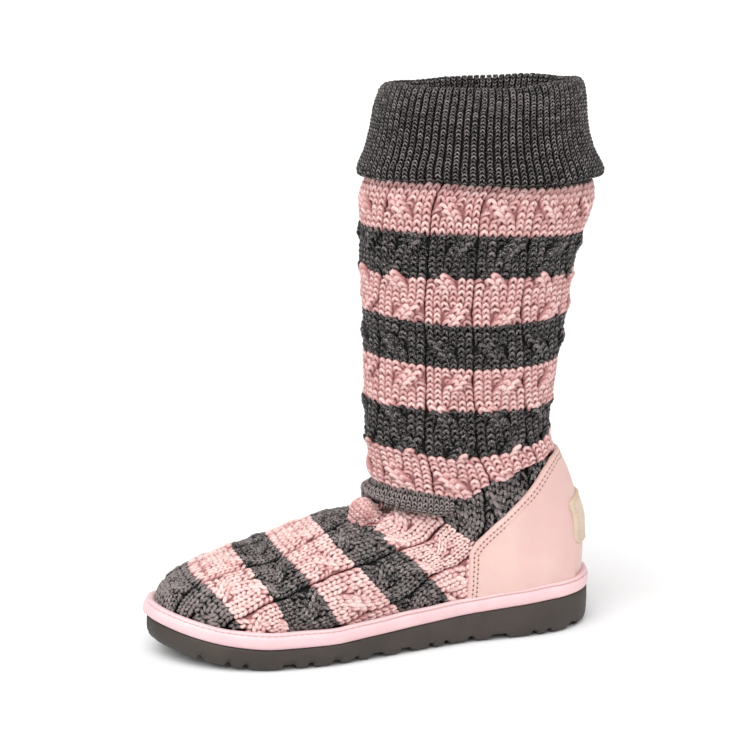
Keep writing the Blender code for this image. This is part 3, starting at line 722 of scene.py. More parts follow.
def groove_lines(row):
    """Distances round the boot of all purl grooves at given rows, from inner to outer side."""
    a, b, c, d = [np.interp(row, GROOVE_LINES["row"], GROOVE_LINES[k]) for k in "abcd"]
    inner = [a - 30.0 * k for k in range(7, 0, -1)]
    return np.stack(inner + [a, b, c, d, d + 31.5, d + 62.0, d + 93.0])


def plait(row):
    """Place, height and spread of the three strands of a plait at given rows."""
    order = [0, 1, 2]
    place = np.arange(3.0)[:, None, None] + 0 * row
    height = 0 * place
    spread = 0 * place + 1
    for k, at in enumerate(CROSSINGS):
        t = smooth_step(row, at - 2.5, at + 2.5)
        hump = 4 * t * (1 - t)
        i, j = (0, 1) if k % 2 == 0 else (2, 1)
        over, under = order[i], order[j]
        place[over] += (j - i) * t
        place[under] -= (j - i) * t
        height[over] += 1.9 * hump
        height[under] -= 1.2 * hump
        spread[over] += .2 * hump
        spread[under] += .9 * hump
        order[i], order[j] = under, over
    return place, height, spread


# one stitch is an arch of yarn from its left foot over its crown to its right foot: how far
# aside, in wales; how far up, in rows; how far out, in millimetres; and how full
OPEN_ARCH = np.array([
    [-.31, -.345, -.32, -.20, 0.0, .20, .32, .345, .31],
    [-.92, -.50, -.08, .30, .50, .30, -.08, -.50, -.92],
    [-2.0, -1.0, -.4, -.05, .05, -.05, -.4, -1.0, -2.0],
    [.60, .95, 1.05, 1.10, 1.08, 1.10, 1.05, .95, .60],
])
POINTED_ARCH = np.array([
    [-.34, -.375, -.31, -.17, 0.0, .17, .31, .375, .34],
    [-.95, -.52, -.05, .36, .56, .36, -.05, -.52, -.95],
    [-2.0, -.85, -.1, -.1, -.85, -.1, -.1, -.85, -2.0],
    [.60, 1.05, 1.22, 1.08, .65, 1.08, 1.22, 1.05, .60],
])
CROWN = 4               # the middle point of the arch
YARN_WIDE = .196        # half width of the yarn as a share of a wale
YARN_HIGH = .98         # its half height
STITCH_SPAN = 4.3       # from foot to crown where the yarn is not stretched
SEAM_ALLOWANCE = 1.2


def knit(cloth, arch, first, last, kept, seed, highlight_level, depth):
    """Every stitch of a sheet between two rows, with its row and the row it is pulled to."""
    aside, up, out, full = arch
    chance = np.random.default_rng(seed)
    rows = np.arange(first, last) + .5
    groove = 2.2 - 1.5 * depth
    stitches = []
    for panel in range(len(groove_lines(rows)) - 1):
        for strand in range(3):
            for wale in (0, 1):
                # each stitch is a little off in row, in side, in height and in width
                jitter = chance.normal(0, 1, (len(rows), 4))
                row = rows[:, None] - up + .07 * jitter[:, :1]
                left, right = groove_lines(row)[panel:panel + 2]
                place, height, spread = [v[strand] for v in plait(row)]
                height = height * depth
                pitch = (right - left - groove) / 6
                centre = left + groove / 2 + (2 * place + 1) * pitch
                middle = centre + (wale - .5) * spread * pitch
                side = middle + aside * (1 + .05 * jitter[:, 3:]) * pitch * spread
                rounded = .5 * np.clip(height, 0, 2) * ((side - centre) / pitch) ** 2
                edge = np.minimum(side - left, right - side)
                dip = 1.4 * groove ** .5 * bell(edge, 0, groove ** .5)
                rise = out + height - rounded - dip
                point, normal = cloth.at(row, side + .13 * jitter[:, 1:2], rise - .5 + .13 * jitter[:, 2:3])
                crown, _ = cloth.at(rows, middle[:, CROWN])
                good = kept(crown) & (np.abs(middle[:, CROWN]) < cloth.seam(rows) - SEAM_ALLOWANCE)
                # tone sets how much painted highlight a stitch takes: its given level, more toward the toe,
                # whose top faces the light, and a little at random
                tone = highlight_level + .42 * smooth_step(row, 98, 110) + .17 * jitter[:, 2:3]
                stout = pitch * (1 + .16 * np.clip(height, 0, 2))
                # a strand on top of a plait pulls one of its wales up into the next stripe
                pulled = rows + .5 * wale * np.clip(height[:, CROWN], 0, 1.9)
                found = (point, normal, stout, rise - .8 * height, tone, rows, pulled)
                stitches.append([v[good] for v in found])
    point, normal, stout, rise, tone, number, pulled = [np.concatenate(v) for v in zip(*stitches)]
    stretch = np.linalg.norm(point[:, CROWN] - point[:, 0], axis=1, keepdims=True) / STITCH_SPAN
    full = full * np.clip(stretch, .55, 1.15) ** .4
    # lift, how far out the yarn lies, sets its painted shade in the wool's finish; tone sets its painted
    # highlight
    points, marks = yarn(point, normal, stout * YARN_WIDE * full, YARN_HIGH * full,
                         lift=np.clip((rise + 1.9) / 2.2, 0, 1), tone=tone)
    return points, marks, number, pulled


def is_grey(row):
    """Stripes of eight rows, the first of them pink."""
    return (np.floor(row / 8) % 2) == 1


def foot_is_grey(row, place):
    """The foot is grey under the shaft and at the toe, and striped in between."""
    by_knob = (row > 70) & ~in_knob(place) & (place[..., 0] < -4)
    return (row < 60) | (row > 104) | (is_grey(row) & (row > 64)) | (by_knob & (row < 80))


def yarn_finish(name, deep, main, light, fleck, flecks, gloss, sheen):
    """Wool yarn: painted shade where it dips and on its flanks, a painted highlight on its crest, and odd
    light and dark fibres.
    """
    wool, shader, place = new_finish(name, gloss, sheen)
    shader.inputs["Specular IOR Level"].default_value = .2
    lift, tone, along, around = [place.mark(k) for k in ("lift", "tone", "along", "around")]
    flank = place.maths("ABSOLUTE", around).soft_step(.45, 1.55)
    ply = place.maths("SINE", (along * 3.1 + around * 1.5) + tone * 9.0)
    lie = place.node("ShaderNodeCombineXYZ", None,
                     {0: along * .33 + around * .2, 1: around * .8, 2: tone * 40.0})
    fibre = lie.noise(3.2, 3.0, .65)
    # painted shade: the yarn turns to its deep colour where it lies low and on its flanks
    body = lift.soft_step(.2, .9).between(deep, main)
    body = (flank * .6).between(body, deep)
    # painted highlight: the crest, streaked by fibres, turns to the light colour, more on stitches of higher
    # tone
    crest = (1 - flank) * lift.soft_step(.45, .95)
    glint = (crest * .55 + fibre * 1.3 + .05 * ply + .5 * (tone - .5)).soft_step(.75, 1.4)
    body = glint.between(body, light)
    odd = lie.stretched(1.0, 1.0, 2.3).noise(5.5, 1.0)
    body = ((odd.soft_step(.57, .69) * (1 - flank)) * flecks).between(body, fleck)
    body = (odd.soft_step(.46, .30) * .5).between(body, deep)
    dress(shader, body, (ply * .5 + fibre * 1.2).relief(.00018, .7))
    return wool


shaft_cloth = sock(shaft_row, -2, 64, lambda rows: SHAFT_MIDDLE + 0 * rows, 192, shaft_relief)
foot_cloth = sock(foot_row, 40, 116, foot_middle, 120, foot_relief, knob=True)
pink_wool = yarn_finish("pink_wool", (168, 108, 107), (210, 157, 154), (243, 213, 208),
                        (255, 240, 235), .6, .6, .12)
grey_wool = yarn_finish("grey_wool", (3, 2, 2), (12, 9, 8), (137, 126, 124),
                        (205, 198, 196), .8, .5, .01)


def lay_striped(name, points, marks, grey, dimmed, kept=True):
    """Strands of both colours, each colour as its own piece."""
    marks["tone"] = marks["tone"] - dimmed * grey[:, None, None]
    for colour, pick, wool in (("pink", ~grey, pink_wool), ("grey", grey, grey_wool)):
        lay(name.format(colour), points, wool, "knit_upper", marks, pick & kept)


# the shaft is in open stitches, and its rolled hem over the ankle is left out here
points, marks, row, pulled = knit(shaft_cloth, OPEN_ARCH, -1, 63, shaft_kept, 3, .34, 1.0)
clear_of_roll = (row < 56) | (points[..., 0].mean((1, 2)) > 40)
lay_striped("knit_shaft_{}_stitches", points, marks, is_grey(row) & is_grey(pulled), .32, clear_of_roll)

# the foot is stretched flatter in pointed stitches; it takes more painted highlight than the
# shaft, as it faces up to the light, and painted shade in the crease round the knob
points, marks, row, _ = knit(foot_cloth, POINTED_ARCH, 40, 115, foot_kept, 5, .78, .5)
# painted shade: the yarn's lift is lowered in the crease on the right of the knob
crease = bell(np.linalg.norm(points - KNOB, axis=-1), 10.9, 2.2)
crease *= smooth_step(points[..., 0] - .5 * points[..., 1], -7, 0)
marks["lift"] = np.clip(marks["lift"] - .9 * crease, 0, 1)
middle = points.mean((1, 2))
lay_striped("knit_foot_{}_stitches", points, marks, foot_is_grey(row, middle), .27, ~in_knob(middle))

# ================================================================ rolled hem and ankle knob
# Where the ankle bends, the hem of the shaft rolls over in grey, and a small ball of pink
# cloth is squeezed out under it. The wool is drawn tight there, so its stitches are small.


def plain_stitches(name, cloth, rows, pitch, reach, kept, wool, stout, tone, seed):
    """Small stitches without cables, where the cloth is drawn tight."""
    aside, up, out, full = OPEN_ARCH
    wales = np.arange(-reach, reach + 1) * pitch
    rows, wales = [v.ravel()[:, None] for v in np.meshgrid(rows, wales, indexing="ij")]
    crown, _ = cloth.at(rows[:, 0], wales[:, 0])
    rows, wales = rows[kept(crown)], wales[kept(crown)]
    jitter = np.random.default_rng(seed).normal(0, 1, (len(rows), 4))
    row = rows - up * .8 + .05 * jitter[:, :1]
    rise = out * .7 - .45 + .12 * jitter[:, 2:3]
    point, normal = cloth.at(row, wales + aside * pitch + .12 * jitter[:, 1:2], rise)
    points, marks = yarn(point, normal, .56 * stout * full, .72 * stout * full,
                         lift=np.clip((rise + 1.8) / 1.6, 0, 1), tone=tone + .22 * jitter[:, 3:])
    lay(name, points, wool, "knit_upper", marks)


# their tone sets the painted highlight: strong on the grey roll, weak on the knob
plain_stitches("knit_roll_grey_stitches", shaft_cloth, np.arange(56.3, 62.0, .95), 3.0, 21,
               lambda p: shaft_kept(p) & (p[..., 0] < 40), grey_wool, 1.0, 1.25, 14)
plain_stitches("knit_knob_pink_stitches", foot_cloth, np.arange(60.4, 72.9, .8), 2.3, 12,
               in_knob, pink_wool, 1.25, .35, 15)

# ================================================================ back seam
# The two edges of the knit meet up the back of the shaft. They are laced together by
# slanting stitches of the same wool, in the colour of the stripe that they cross.

chance = np.random.default_rng(8)
number = np.arange(-1, 50, .5)[:, None] + .25
t = np.linspace(-1, 1, 7)
slant = np.where(np.arange(len(number))[:, None] % 2 == 0, 1.0, -1.0)
row = number + slant * .45 * t + .05 * chance.normal(0, 1, number.shape)
reach = shaft_cloth.seam(number) - np.abs(1.9 * t)
lateral, medial = shaft_cloth.at(row, reach)[0], shaft_cloth.at(row, -reach)[0]
path = np.where((t > 0)[:, None], lateral, medial)
path[:, 3] = (lateral[:, 3] + medial[:, 3]) / 2
away = outward(path)
rise = .75 - 1.5 * np.abs(t) ** 3 + 0 * row
full = 1 - .25 * t ** 2
tone = .4 + .15 * chance.normal(0, 1, number.shape)
points, marks = yarn(path + away * rise[..., None], away, .8 * full, .85 * full,
                     lift=np.clip((rise + .6) / 1.4, 0, 1), tone=tone)
lay_striped("back_seam_{}", points, marks, is_grey(number[:, 0]), .5)

# ================================================================ ground of the knit
# Behind the face stitches lies the ground of the knit, the back of its loops and the purl
# grooves. It is a fuzzy sheet seen in the gaps, striped like the face; its pink is painted
# darker than the yarn as shade, and darker still along the grooves as painted shade.

GROUND_DEPTH = 1.9
GROUND_STEP = .8

ground_wool, shader, place = new_finish("knit_ground_wool", .95)
fuzz = place.noise(900.0, 3.0, .7)
pink = fuzz.between((158, 98, 98), (198, 136, 136))
# painted shade along the purl grooves
pink = place.mark("gap").soft_step(.1, .7).between(pink, (86, 42, 44))
dark = fuzz.between((6, 5, 5), (24, 21, 21))
dress(shader, place.mark("grey").soft_step(.45, .55).between(pink, dark), fuzz.relief(.0008, .8))

for part, cloth, gap_depth in (("shaft", shaft_cloth, 1.2), ("foot", foot_cloth, 1.8)):
    side = np.arange(cloth.side[0], cloth.side[-1] + .1, GROUND_STEP)
    row, side = np.meshgrid(cloth.rows, side, indexing="ij")
    side = np.clip(side, -cloth.seam(row), cloth.seam(row))
    flat, _ = cloth.at(row, side)
    gap = bell(np.abs(groove_lines(row) - side).min(0), 0, .7) * ~in_knob(flat)
    points, _ = cloth.at(row, side, -GROUND_DEPTH - gap_depth * gap + .9 * in_knob(flat))
    x, _, z = parts(flat)
    if part == "shaft":
        good = under_fold(x, z) < 2.0
        grey = is_grey(row - .3) | is_grey(row + .4)
    else:
        good = (under_fold(x, z) > -5.0) & (z > sole_top(x) + .5) & (x < 112)
        grey = foot_is_grey(row - .3, flat) | foot_is_grey(row + .4, flat)
    faces = sheet_faces(*row.shape, flip=True)
    faces = faces[good.ravel()[faces].all(1) & (np.ptp(side.ravel()[faces], axis=1) > .05)]
    piece(f"knit_{part}_ground", points, faces, ground_wool, "knit_upper",
          stands_for_it=part == "shaft", marks={"grey": grey, "gap": gap})

# ================================================================ ribbed cuff
# The cuff is a band of one-by-one rib in the same grey wool, knitted on at the top of the
# shaft. It goes up, folds softly over, and hangs down outside, flaring over the stripes.

CUFF = {
    "at":    [258.5, 264., 271., 281., 294., 304., 312., 316.5],
    "front": [-6.8, -6.5, -5.0, -1.2, 1.6, 3.2, 5.2, 6.8],
    "back":  [134., 133.2, 130.8, 126.2, 122.8, 122.2, 121.6, 120.6],
    "half":  [54.8, 54.7, 53.6, 51.9, 50.6, 50., 49., 47.6],
}
# the fold seen in section, from the hem up outside and down inside: height, height at which
# the outline is read, distance in from that outline
CUFF_SECTION = [
    (269.5, 263.5, 4.6), (266.4, 261.6, 4.2), (264.8, 260.0, 2.6), (264.4, 259.7, 1.0),
    (265.9, 260.4, .1), (268., 263., 0), (272., 270., 0), (278., 278., 0), (288., 288., 0),
    (298., 298., 0), (307., 307., 0), (313., 312., .2), (317.2, 314., 1.2), (319.0, 315., 3.6),
    (317.6, 314., 6.2), (313., 312., 7.6), (305., 305., 8.), (294., 294., 8.), (284., 284., 8.2),
    (274., 281., 8.6), (266., 278., 8.8),
]
# how far the hem is drawn up, at places from front to back
HEM_DRAWN_UP = ([-5, 6, 22, 34, 52, 66, 98, 110], [.8, 1.2, 3.0, .9, 0, -1.2, -1.3, 0])
RIBS = 85
RIB_ROWS = 58
FOLD_ROW = 30           # the row that lies along the top of the fold


def cuff_ring(z, read_at, inset, turn):
    """Level ring of the cuff at angles of turn."""
    front, back, half = curves(CUFF, read_at)
    c, s = np.cos(turn), np.sin(turn)
    r = (np.abs(c) ** 2.1 + np.abs(s) ** 2.1) ** (-1 / 2.1)
    return np.stack([(front + back) / 2 + ((back - front) / 2 - inset) * r * c,
                     (half - inset) * r * s, z + 0 * turn], 1)


def pressed(row):
    """How deep the ribs are at a row: they lie flatter at the hem and over the fold."""
    return 1 - .5 * (1 - smooth_step(row, 2.3, 5.8)) - .62 * bell(row, FOLD_ROW, 3.8)


fine = np.linspace(math.pi, 3 * math.pi, 1441)
run = lengths_along(cuff_ring(285., 285., 0, fine))
side = np.arange(-8, RIBS * 8 + 9) / 8
turn = np.interp(side % RIBS / RIBS * run[-1], run, fine)
lines = np.stack([cuff_ring(z, read_at, inset, turn) for z, read_at, inset in CUFF_SECTION])
# the corners of the section are cut three times, which rounds it
for _ in range(3):
    cut = np.stack([.75 * lines[:-1] + .25 * lines[1:], .25 * lines[:-1] + .75 * lines[1:]], 1)
    lines = np.concatenate([lines[:1], cut.reshape(-1, *lines.shape[1:]), lines[-1:]])
rows = np.arange(0, RIB_ROWS + .1, .5)
sheet = np.stack([walk(line, rows / RIB_ROWS * lengths_along(line)[-1])
                  for line in lines.swapaxes(0, 1)], 1)
round_boot = side / RIBS * 2 * math.pi
wave = np.sin(round_boot * 3 + .8) * .8 + np.sin(round_boot * 7) * .35
top = smooth_step(sheet[..., 2], 296, 318)
sheet[..., 2] += top * (wave * .8 - 3.4 + 2.8 * smooth_step(sheet[..., 0], 62, 120))
hem = 1 - smooth_step(sheet[..., 2], 259, 268)
sheet[..., 2] += hem * (np.sin(round_boot * 4) * .5 - .3)
outside = (1 - smooth_step(sheet[..., 2], 262, 292)) * (rows < FOLD_ROW)[:, None]
sheet[..., 2] += np.interp(sheet[..., 0], *HEM_DRAWN_UP) * outside
cuff_cloth = Cloth(rows, side, sheet, turned=True)

number, rib = np.meshgrid(np.arange(1, RIB_ROWS - 1) + .5, np.arange(RIBS) + .5, indexing="ij")
number, rib = number.ravel()[:, None], rib.ravel()[:, None]
jitter = np.random.default_rng(11).normal(0, 1, (len(number), 4))
aside, up, out, full = OPEN_ARCH[:, 1:8]
rise = (out + .35) * pressed(number) + .1 * jitter[:, 2:3]
path, away = cuff_cloth.at(number + up * 1.02 + .05 * jitter[:, :1],
                           rib + aside * .82 + .02 * jitter[:, 1:2], rise)
points, marks = yarn(path, away, .57 * full, .64 * full, 4,
                     lift=np.clip((rise + 1.3) / 1.6, 0, 1), tone=.14 + .2 * jitter[:, 3:])
lay("rib_cuff_stitches", points, grey_wool, "rib_cuff", marks)

row, side = np.meshgrid(rows, np.arange(0, RIBS * 4 + 1) / 4, indexing="ij")
valley = (1 + np.cos(2 * math.pi * side)) / 2
points, _ = cuff_cloth.at(row, side, -.85 - 1.25 * valley * pressed(row))
piece("rib_cuff_ground", points, sheet_faces(*row.shape), ground_wool, "rib_cuff",
      stands_for_it=True, marks={"grey": 1 + 0 * row})

# ================================================================ lining of the boot
# Inside, the wall is the plain wrong side of the same knit, soft and brushed; its stripes
# show through. The wall goes from under the ribbing down to the sole.

LINING_OUTER = -4.3     # the two faces of the wall, measured out from the last
LINING_INNER = -5.0
LINING_RAYS = 144


def row_at(points):
    """Row number of the knit at places of the wall, read from the side."""
    x, _, z = parts(points.reshape(-1, 3))
    lines = shaft_lines(x)
    row = [np.interp(-z[i], -lines[:, i], list(SHAFT_STRIPES)) for i in range(len(z))]
    return np.array(row).reshape(points.shape[:-1])


# each ring of the wall slopes: where its front end is, and the heights of front end and heel
ends = [(-1.0, 264.0, 264.0)] + [(-3.0, z, z) for z in np.arange(258.0, 141.0, -6.0)]
ends += [(-3.0, z, heel_z) for z, heel_z in (
    (134.0, 137.0), (125.0, 129.5), (116.0, 122.5), (109.0, 117.0), (103.0, 112.5), (98.5, 109.0),
    (94.0, 105.5), (91.0, 103.0), (88.0, 100.5), (85.7, 98.5), (83.4, 96.5))]
share = np.arange(0, 200, 8) / 199
ridge_x = -12.0 - 113.4 * share
ends += zip(ridge_x, curves(FOOT, LENGTH / 2 - ridge_x)[0], 89.0 - 54.0 * share)
nose, low, high = [np.array(v)[:, None] for v in zip(*ends)]
heel = np.where(nose > -4, 112.0, 127.0)
wall = list(rings_of_last(lambda x: low + (x - nose) * ((high - low) / (heel - nose)),
                          (.42 * nose + .58 * heel)[:, 0], LINING_RAYS))
wall = np.stack(wall + [ring_over_sole(rise, LINING_RAYS) for rise in (9.4, 4.9, .4)])
away = outward(wall)
away[-1, :, 2] = 0
# the wall steps inward under the fold of the ankle, to stay clear of the tucked cloth
x, _, z = parts(wall)
below = under_fold(x, z)
tuck = (6.0 - 2.4 * smooth_step(x, 22, 50)) * (1 - smooth_step(x, 92, 104)) * bell(below, 1.5, 6.5)
sink = np.minimum(np.minimum(foot_relief(wall), 0) * smooth_step(below, -9, -2), -tuck)[..., None]
points = np.concatenate([wall + away * (sink + LINING_OUTER), (wall + away * (sink + LINING_INNER))[::-1]])
row = row_at(wall)
lining, shader, place = new_finish("knit_lining", .95, sheen=.3)
loops = place.node("ShaderNodeTexVoronoi", {"feature": "SMOOTH_F1"}, {"Scale": 330.0})
fuzz = place.noise(700.0, 4.0, .7)
stripe = place.maths("SINE", place.mark("row") * (math.pi / 8)).soft_step(-.08, .08)
pink = fuzz.between((214, 160, 160), (240, 200, 198))
dark = fuzz.between((72, 69, 68), (120, 116, 114))
dress(shader, stripe.between(dark, pink), (fuzz - loops * 1.2).relief(.0012, .8))
piece("knit_lining", points, sheet_faces(len(points), LINING_RAYS, closed=True), lining,
      "knit_upper", marks={"row": np.concatenate([row, row[::-1]])})

# ================================================================ insole
# A loose foot bed of cream fleece lies on the sole inside the boot. It is cut to the shape
# of the last, and its curled pile stands a little uneven.

BED_RAYS = 240
ring = ring_over_sole(4.0, BED_RAYS)
away = outward(ring)
away[:, 2] = 0
ring = ring - unit(away) * 4.9
middle = np.column_stack([np.clip(ring[:, 0], -92, 96), np.interp(ring[:, 0], [-100, 0], [2, 0]),
                          ring[:, 2]])
chance = np.random.default_rng(4)
layers = [(1.0, .3), (1.0, 2.6)] + [(s, 4.1 - 1.5 * max(0, s - .9)) for s in np.linspace(.995, .02, 26)]
points = []
for share, rise in layers:
    layer = middle + (ring - middle) * share
    pile = chance.random(BED_RAYS) * .7 if rise > 3 else 0
    layer[:, 2] = sole_top(layer[:, 0]) + rise + pile
    points.append(layer)
fleece, shader, place = new_finish("cream_fleece", .97, sheen=.4)
curl = place.noise(420.0, 5.0, .75)
dress(shader, curl.soft_step(.25, .75).between((206, 188, 166), (244, 232, 214)), curl.relief(.002, .9))
piece("fleece_insole", points, sheet_faces(len(layers), BED_RAYS, closed=True, flip=True), fleece,
      "insole", stands_for_it=True)

# ================================================================ heel counter
# The heel counter is one piece of soft pale pink leather wrapped round the heel. Its edge is
# cut, not turned under, and it is sewn down with two rows of small stitches.

HEEL_STAND = 2.55       # outer face of the leather above the knit
COUNTER_STITCH = 2.7    # from one needle hole to the next
HEEL_MIDDLE = 62.0      # a line up inside the heel
HOLE_RINGS = [(.62, -.05), (.54, .06), (.33, .03)]     # radius, and height over the leather


def level_rings(heights):
    """Level rings round the heel of the last."""
    heights = np.asarray(heights, float)[:, None]
    return rings_of_last(lambda x: heights + 0 * x, np.full(len(heights), HEEL_MIDDLE), 720)


def counter_rows(heights, columns):
    """Level rows of the counter from its outer front edge round the heel to the inner one."""
    spread = np.linspace(-1, 1, columns)
    spread = np.sign(spread) * (1 - (1 - np.abs(spread)) ** 1.15)
    rows = []
    for loop in level_rings(heights):
        loop = np.concatenate([loop, loop[:1]])
        part = loop[loop[:, 0] >= counter_front(loop[0, 2])]
        rows.append(walk(part, (spread + 1) / 2 * lengths_along(part)[-1]))
    return np.stack(rows)


def pebbles(place, scale):
    """Height of the fine pebbles of leather."""
    cells = place.node("ShaderNodeTexVoronoi", {"feature": "DISTANCE_TO_EDGE"}, {"Scale": scale})
    return cells.soft_step(0, .3)


heights = [*np.linspace(20.0, 100.0, 58), 101.4, 102.4, 103.1, 103.6, 103.85, 103.98]
rows = counter_rows(heights, 170)
away = outward(rows)
x, y, z = parts(rows)
from_side = np.minimum(*[np.linalg.norm(rows - end, axis=-1) for end in (rows[:, :1], rows[:, -1:])])
top = np.interp(x, [90., 97.4, 99.8, 106.4], [94.0, 99.8, 102.6, 104.0])
from_top = np.where(x > 92, np.clip(top - z, 0, 50), 50)
edge = np.minimum(from_side * .8, from_top)
dents = .25 * np.sin(z * .13 + y * .05) * np.sin(x * .09 + 1.0) * smooth_step(edge, 3, 12)
stand = HEEL_STAND - 1.15 * (1 - np.clip(edge / 1.3, 0, 1)) ** 2 + dents
# the face is closed down to the knit along its front edges and its top
under = rows + away * .3
face = np.concatenate([rows + away * stand[..., None], under[-1:]])
under = np.concatenate([under, under[-1:]])
grid = np.concatenate([under[:, :1], face, under[:, -1:]], 1)

leather, shader, place = new_finish("pale_pink_leather", .5, coat=.05)
cloud = place.noise(26.0, 4.0, .6)
mottle = place.noise(110.0, 3.0, .6)
skin = cloud.soft_step(.3, .7).between((226, 186, 180), (232, 199, 190))
skin = (mottle.soft_step(.45, .8) * .35).between(skin, (235, 186, 181))
grain = pebbles(place, 1500.0) * .6 + place.noise(900.0, 3.0) + cloud * 2.0
dress(shader, skin, grain.relief(.00014, .55), .42 + .22 * mottle)
piece("heel_counter_leather", grid, sheet_faces(*grid.shape[:2]), leather, "heel_counter",
      stands_for_it=True)

# the cut edge, up the outer side, over the back and down the inner side
sides = counter_rows(np.linspace(24.0, 103.0, 160), 9)
back = level_rings([103.7])[0]
back = back[back[:, 0] > 101.5]
path = eased(np.concatenate([sides[:, 0], back, sides[::-1, -1]]), 6)
path = walk(path, np.arange(0, lengths_along(path)[-1], .9))
inward = np.cross(unit(np.gradient(path, axis=0)), outward(path))
inward *= np.sign(inward[:20, 0].mean())
thread = thread_finish("counter_thread", (196, 150, 138), (232, 192, 180), 2200.0)
# each needle hole is a flat disc whose dark brown is painted shade of the hole's depth
hole, shader, place = new_finish("needle_hole", .9)
dress(shader, place.noise(3000.0).between((102, 73, 58), (146, 108, 92)))
for row, distance, shift in ((1, 2.5, 0.0), (2, 4.9, 1.35)):
    line = path + inward * distance
    for _ in range(4):
        line = line - outward(line) * upper_distance(*line.T)[:, None] * .7
    total = lengths_along(line)[-1]
    at = np.arange(1.5 + shift, total - 1.5, COUNTER_STITCH)
    centre = walk(line, at)
    away = outward(centre)
    step = unit(walk(line, at + .1) - centre)
    across = np.cross(away, step)
    turn = np.linspace(0, 2 * math.pi, 8, endpoint=False)[:, None]
    oval = step[:, None] * np.cos(turn) * 1.1 + across[:, None] * np.sin(turn)
    hole_rings = [(centre + away * (HEEL_STAND + lift))[:, None] + oval * radius
                  for radius, lift in HOLE_RINGS]
    points = np.stack(hole_rings, 1)
    index = np.arange(points[..., 0].size).reshape(points.shape[:3])
    walls = quads(np.concatenate([index, index[..., :1]], -1))
    piece(f"counter_needle_holes_{row}", points, [walls, index[:, 2]], hole, "heel_counter")
    at = at[:, None] + np.linspace(.3, .7, 6) * COUNTER_STITCH
    strand = walk(line, at[at[:, -1] < total - 1])
    away = outward(strand)
    rise = HEEL_STAND - .32 + .34 * STITCH_ARCH ** .6
    points, _ = yarn(strand + away * rise[:, None], away, .36, .34)
    lay(f"counter_stitching_{row}", points, thread, "heel_counter")

# ================================================================ heel patch
# A small patch of beige leather, left plain, is laid over the back of the counter and sewn
# down by one row of thread close to its edge.

PATCH_CORNERS = np.array([(-22.0, 74.0), (-13.0, 76.5), (13.0, 76.5), (22.0, 74.0),
                          (21.5, 48.0), (-21.5, 48.0)])
PATCH_MIDDLE = (0.0, 64.0)
PATCH_ROUNDING = 2.6    # how much of each side a rounded corner takes
PATCH_STITCH = 2.6
# rings of the patch from its edge inward: share of its size, and stand above the knit
PATCH_RINGS = [(1.0, 2.3), (1.004, 2.9), (.995, 3.65), (.975, 3.95), (.95, 4.05)]
PATCH_RINGS += [(share, 4.1) for share in np.linspace(.9, .03, 14)]


def heel_point(y, z, stand):
    """Points that stand off the back of the last."""
    points = on_last(lambda x: (x, y, z), np.full(y.shape, 70.0), np.full(y.shape, 150.0))
    return points + outward(points) * np.asarray(stand)[..., None]


outline = []
for corner, before, after in zip(PATCH_CORNERS, np.roll(PATCH_CORNERS, 1, 0), np.roll(PATCH_CORNERS, -1, 0)):
    start = corner + unit(before - corner) * PATCH_ROUNDING
    end = corner + unit(after - corner) * PATCH_ROUNDING
    outline += [start * (1 - t) ** 2 + corner * 2 * t * (1 - t) + end * t * t for t in np.linspace(0, 1, 7)]
outline = np.array(outline + outline[:1])
outline = walk(outline, np.linspace(0, lengths_along(outline)[-1], 121)) - PATCH_MIDDLE
points = [heel_point(*(PATCH_MIDDLE + outline[:-1] * share).T, stand) for share, stand in PATCH_RINGS]
faces = sheet_faces(len(points), len(outline) - 1, closed=True)
last_ring = np.arange(len(outline) - 1) + (len(points) - 1) * (len(outline) - 1)
beige, shader, place = new_finish("beige_leather", .5, coat=.05)
cloud = place.noise(70.0, 3.0, .6)
grain = pebbles(place, 1700.0) * .7 + place.noise(1100.0, 3.0)
dress(shader, cloud.soft_step(.3, .7).between((208, 186, 162), (222, 201, 180)),
      grain.relief(.00014, .6), .42 + .2 * cloud)
piece("heel_patch_leather", points, [faces, last_ring[None]], beige, "heel_patch", stands_for_it=True)

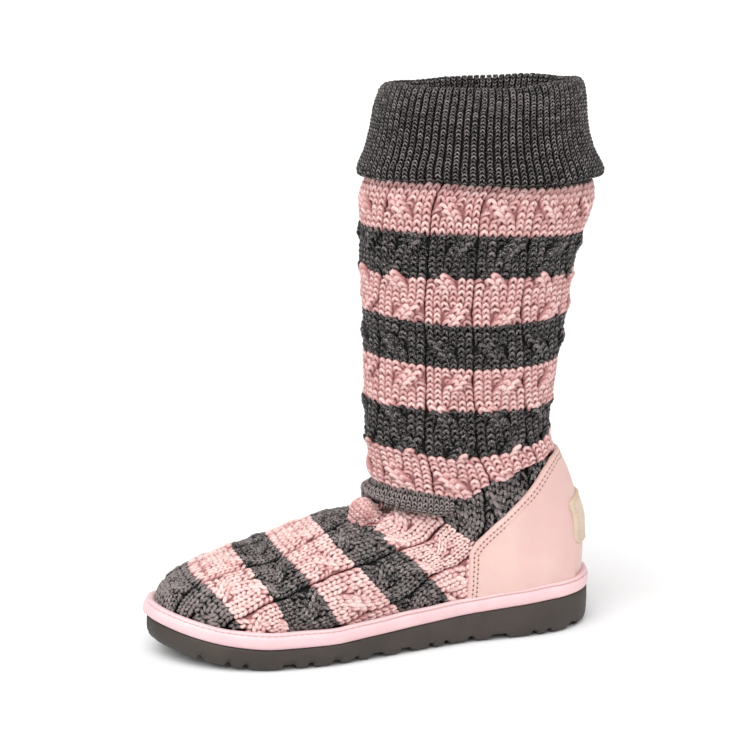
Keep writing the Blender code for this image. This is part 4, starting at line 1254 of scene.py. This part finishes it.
seam = PATCH_MIDDLE + outline * .91
at = seam_stitches(seam, PATCH_STITCH, .26, 1.95)
path = heel_point(*parts(walk(seam, at)), 3.85 + .35 * STITCH_ARCH ** .6)
points, _ = yarn(path, outward(path), .34, .32)
thread = thread_finish("patch_thread", (186, 158, 128), (216, 192, 164), 2200.0, relief=0)
lay("heel_patch_stitching", points, thread, "heel_patch")

# ================================================================ floor, lights and camera
# A plain pale floor and two large soft lamps, as in a studio, under an even white sky. The
# camera looks at the outer side of the boot, a little from the toe and from above.

floor_mesh = bpy.data.meshes.new("floor")
floor_mesh.from_pydata([(-30, -30, 0), (30, -30, 0), (30, 30, 0), (-30, 30, 0)], [], [(0, 1, 2, 3)])
floor = bpy.data.objects.new("floor", floor_mesh)
bpy.context.scene.collection.objects.link(floor)
floor_finish, shader, _ = new_finish("pale_floor", .8)
shader.inputs["Base Color"].default_value = (.92, .92, .92, 1)
floor_mesh.materials.append(floor_finish)

world = bpy.data.worlds.new("studio")
bpy.context.scene.world = world
world.use_nodes = True
world.node_tree.nodes["Background"].inputs["Color"].default_value = (1, 1, 1, 1)
world.node_tree.nodes["Background"].inputs["Strength"].default_value = .6

for name, spot, softness, power in (
        ("key_lamp", (-1.3, -1.3, 2.7), 58.0, 2.5),
        ("fill_lamp", (1.5, -1.6, 1.3), 60.0, .5)):
    data = bpy.data.lights.new(name, "SUN")
    data.angle = math.radians(softness)
    data.energy = power
    lamp = bpy.data.objects.new(name, data)
    lamp.location = spot
    lamp.rotation_euler = (-Vector(spot)).to_track_quat("-Z", "Y").to_euler()
    bpy.context.scene.collection.objects.link(lamp)

turned, dipped = math.radians(16.01), math.radians(12.39)
forward = Vector((math.sin(turned) * math.cos(dipped), math.cos(turned) * math.cos(dipped),
                  -math.sin(dipped)))
camera_data = bpy.data.cameras.new("camera")
camera_data.sensor_width = 36.0
camera_data.lens = 92.1
camera_data.clip_end = 200.0
camera = bpy.data.objects.new("camera", camera_data)
camera.location = (-.2918, -1.0144, .3875)
camera.rotation_euler = forward.to_track_quat("-Z", "Y").to_euler()
bpy.context.scene.collection.objects.link(camera)
bpy.context.scene.camera = camera
bpy.context.scene.view_settings.view_transform = "Standard"
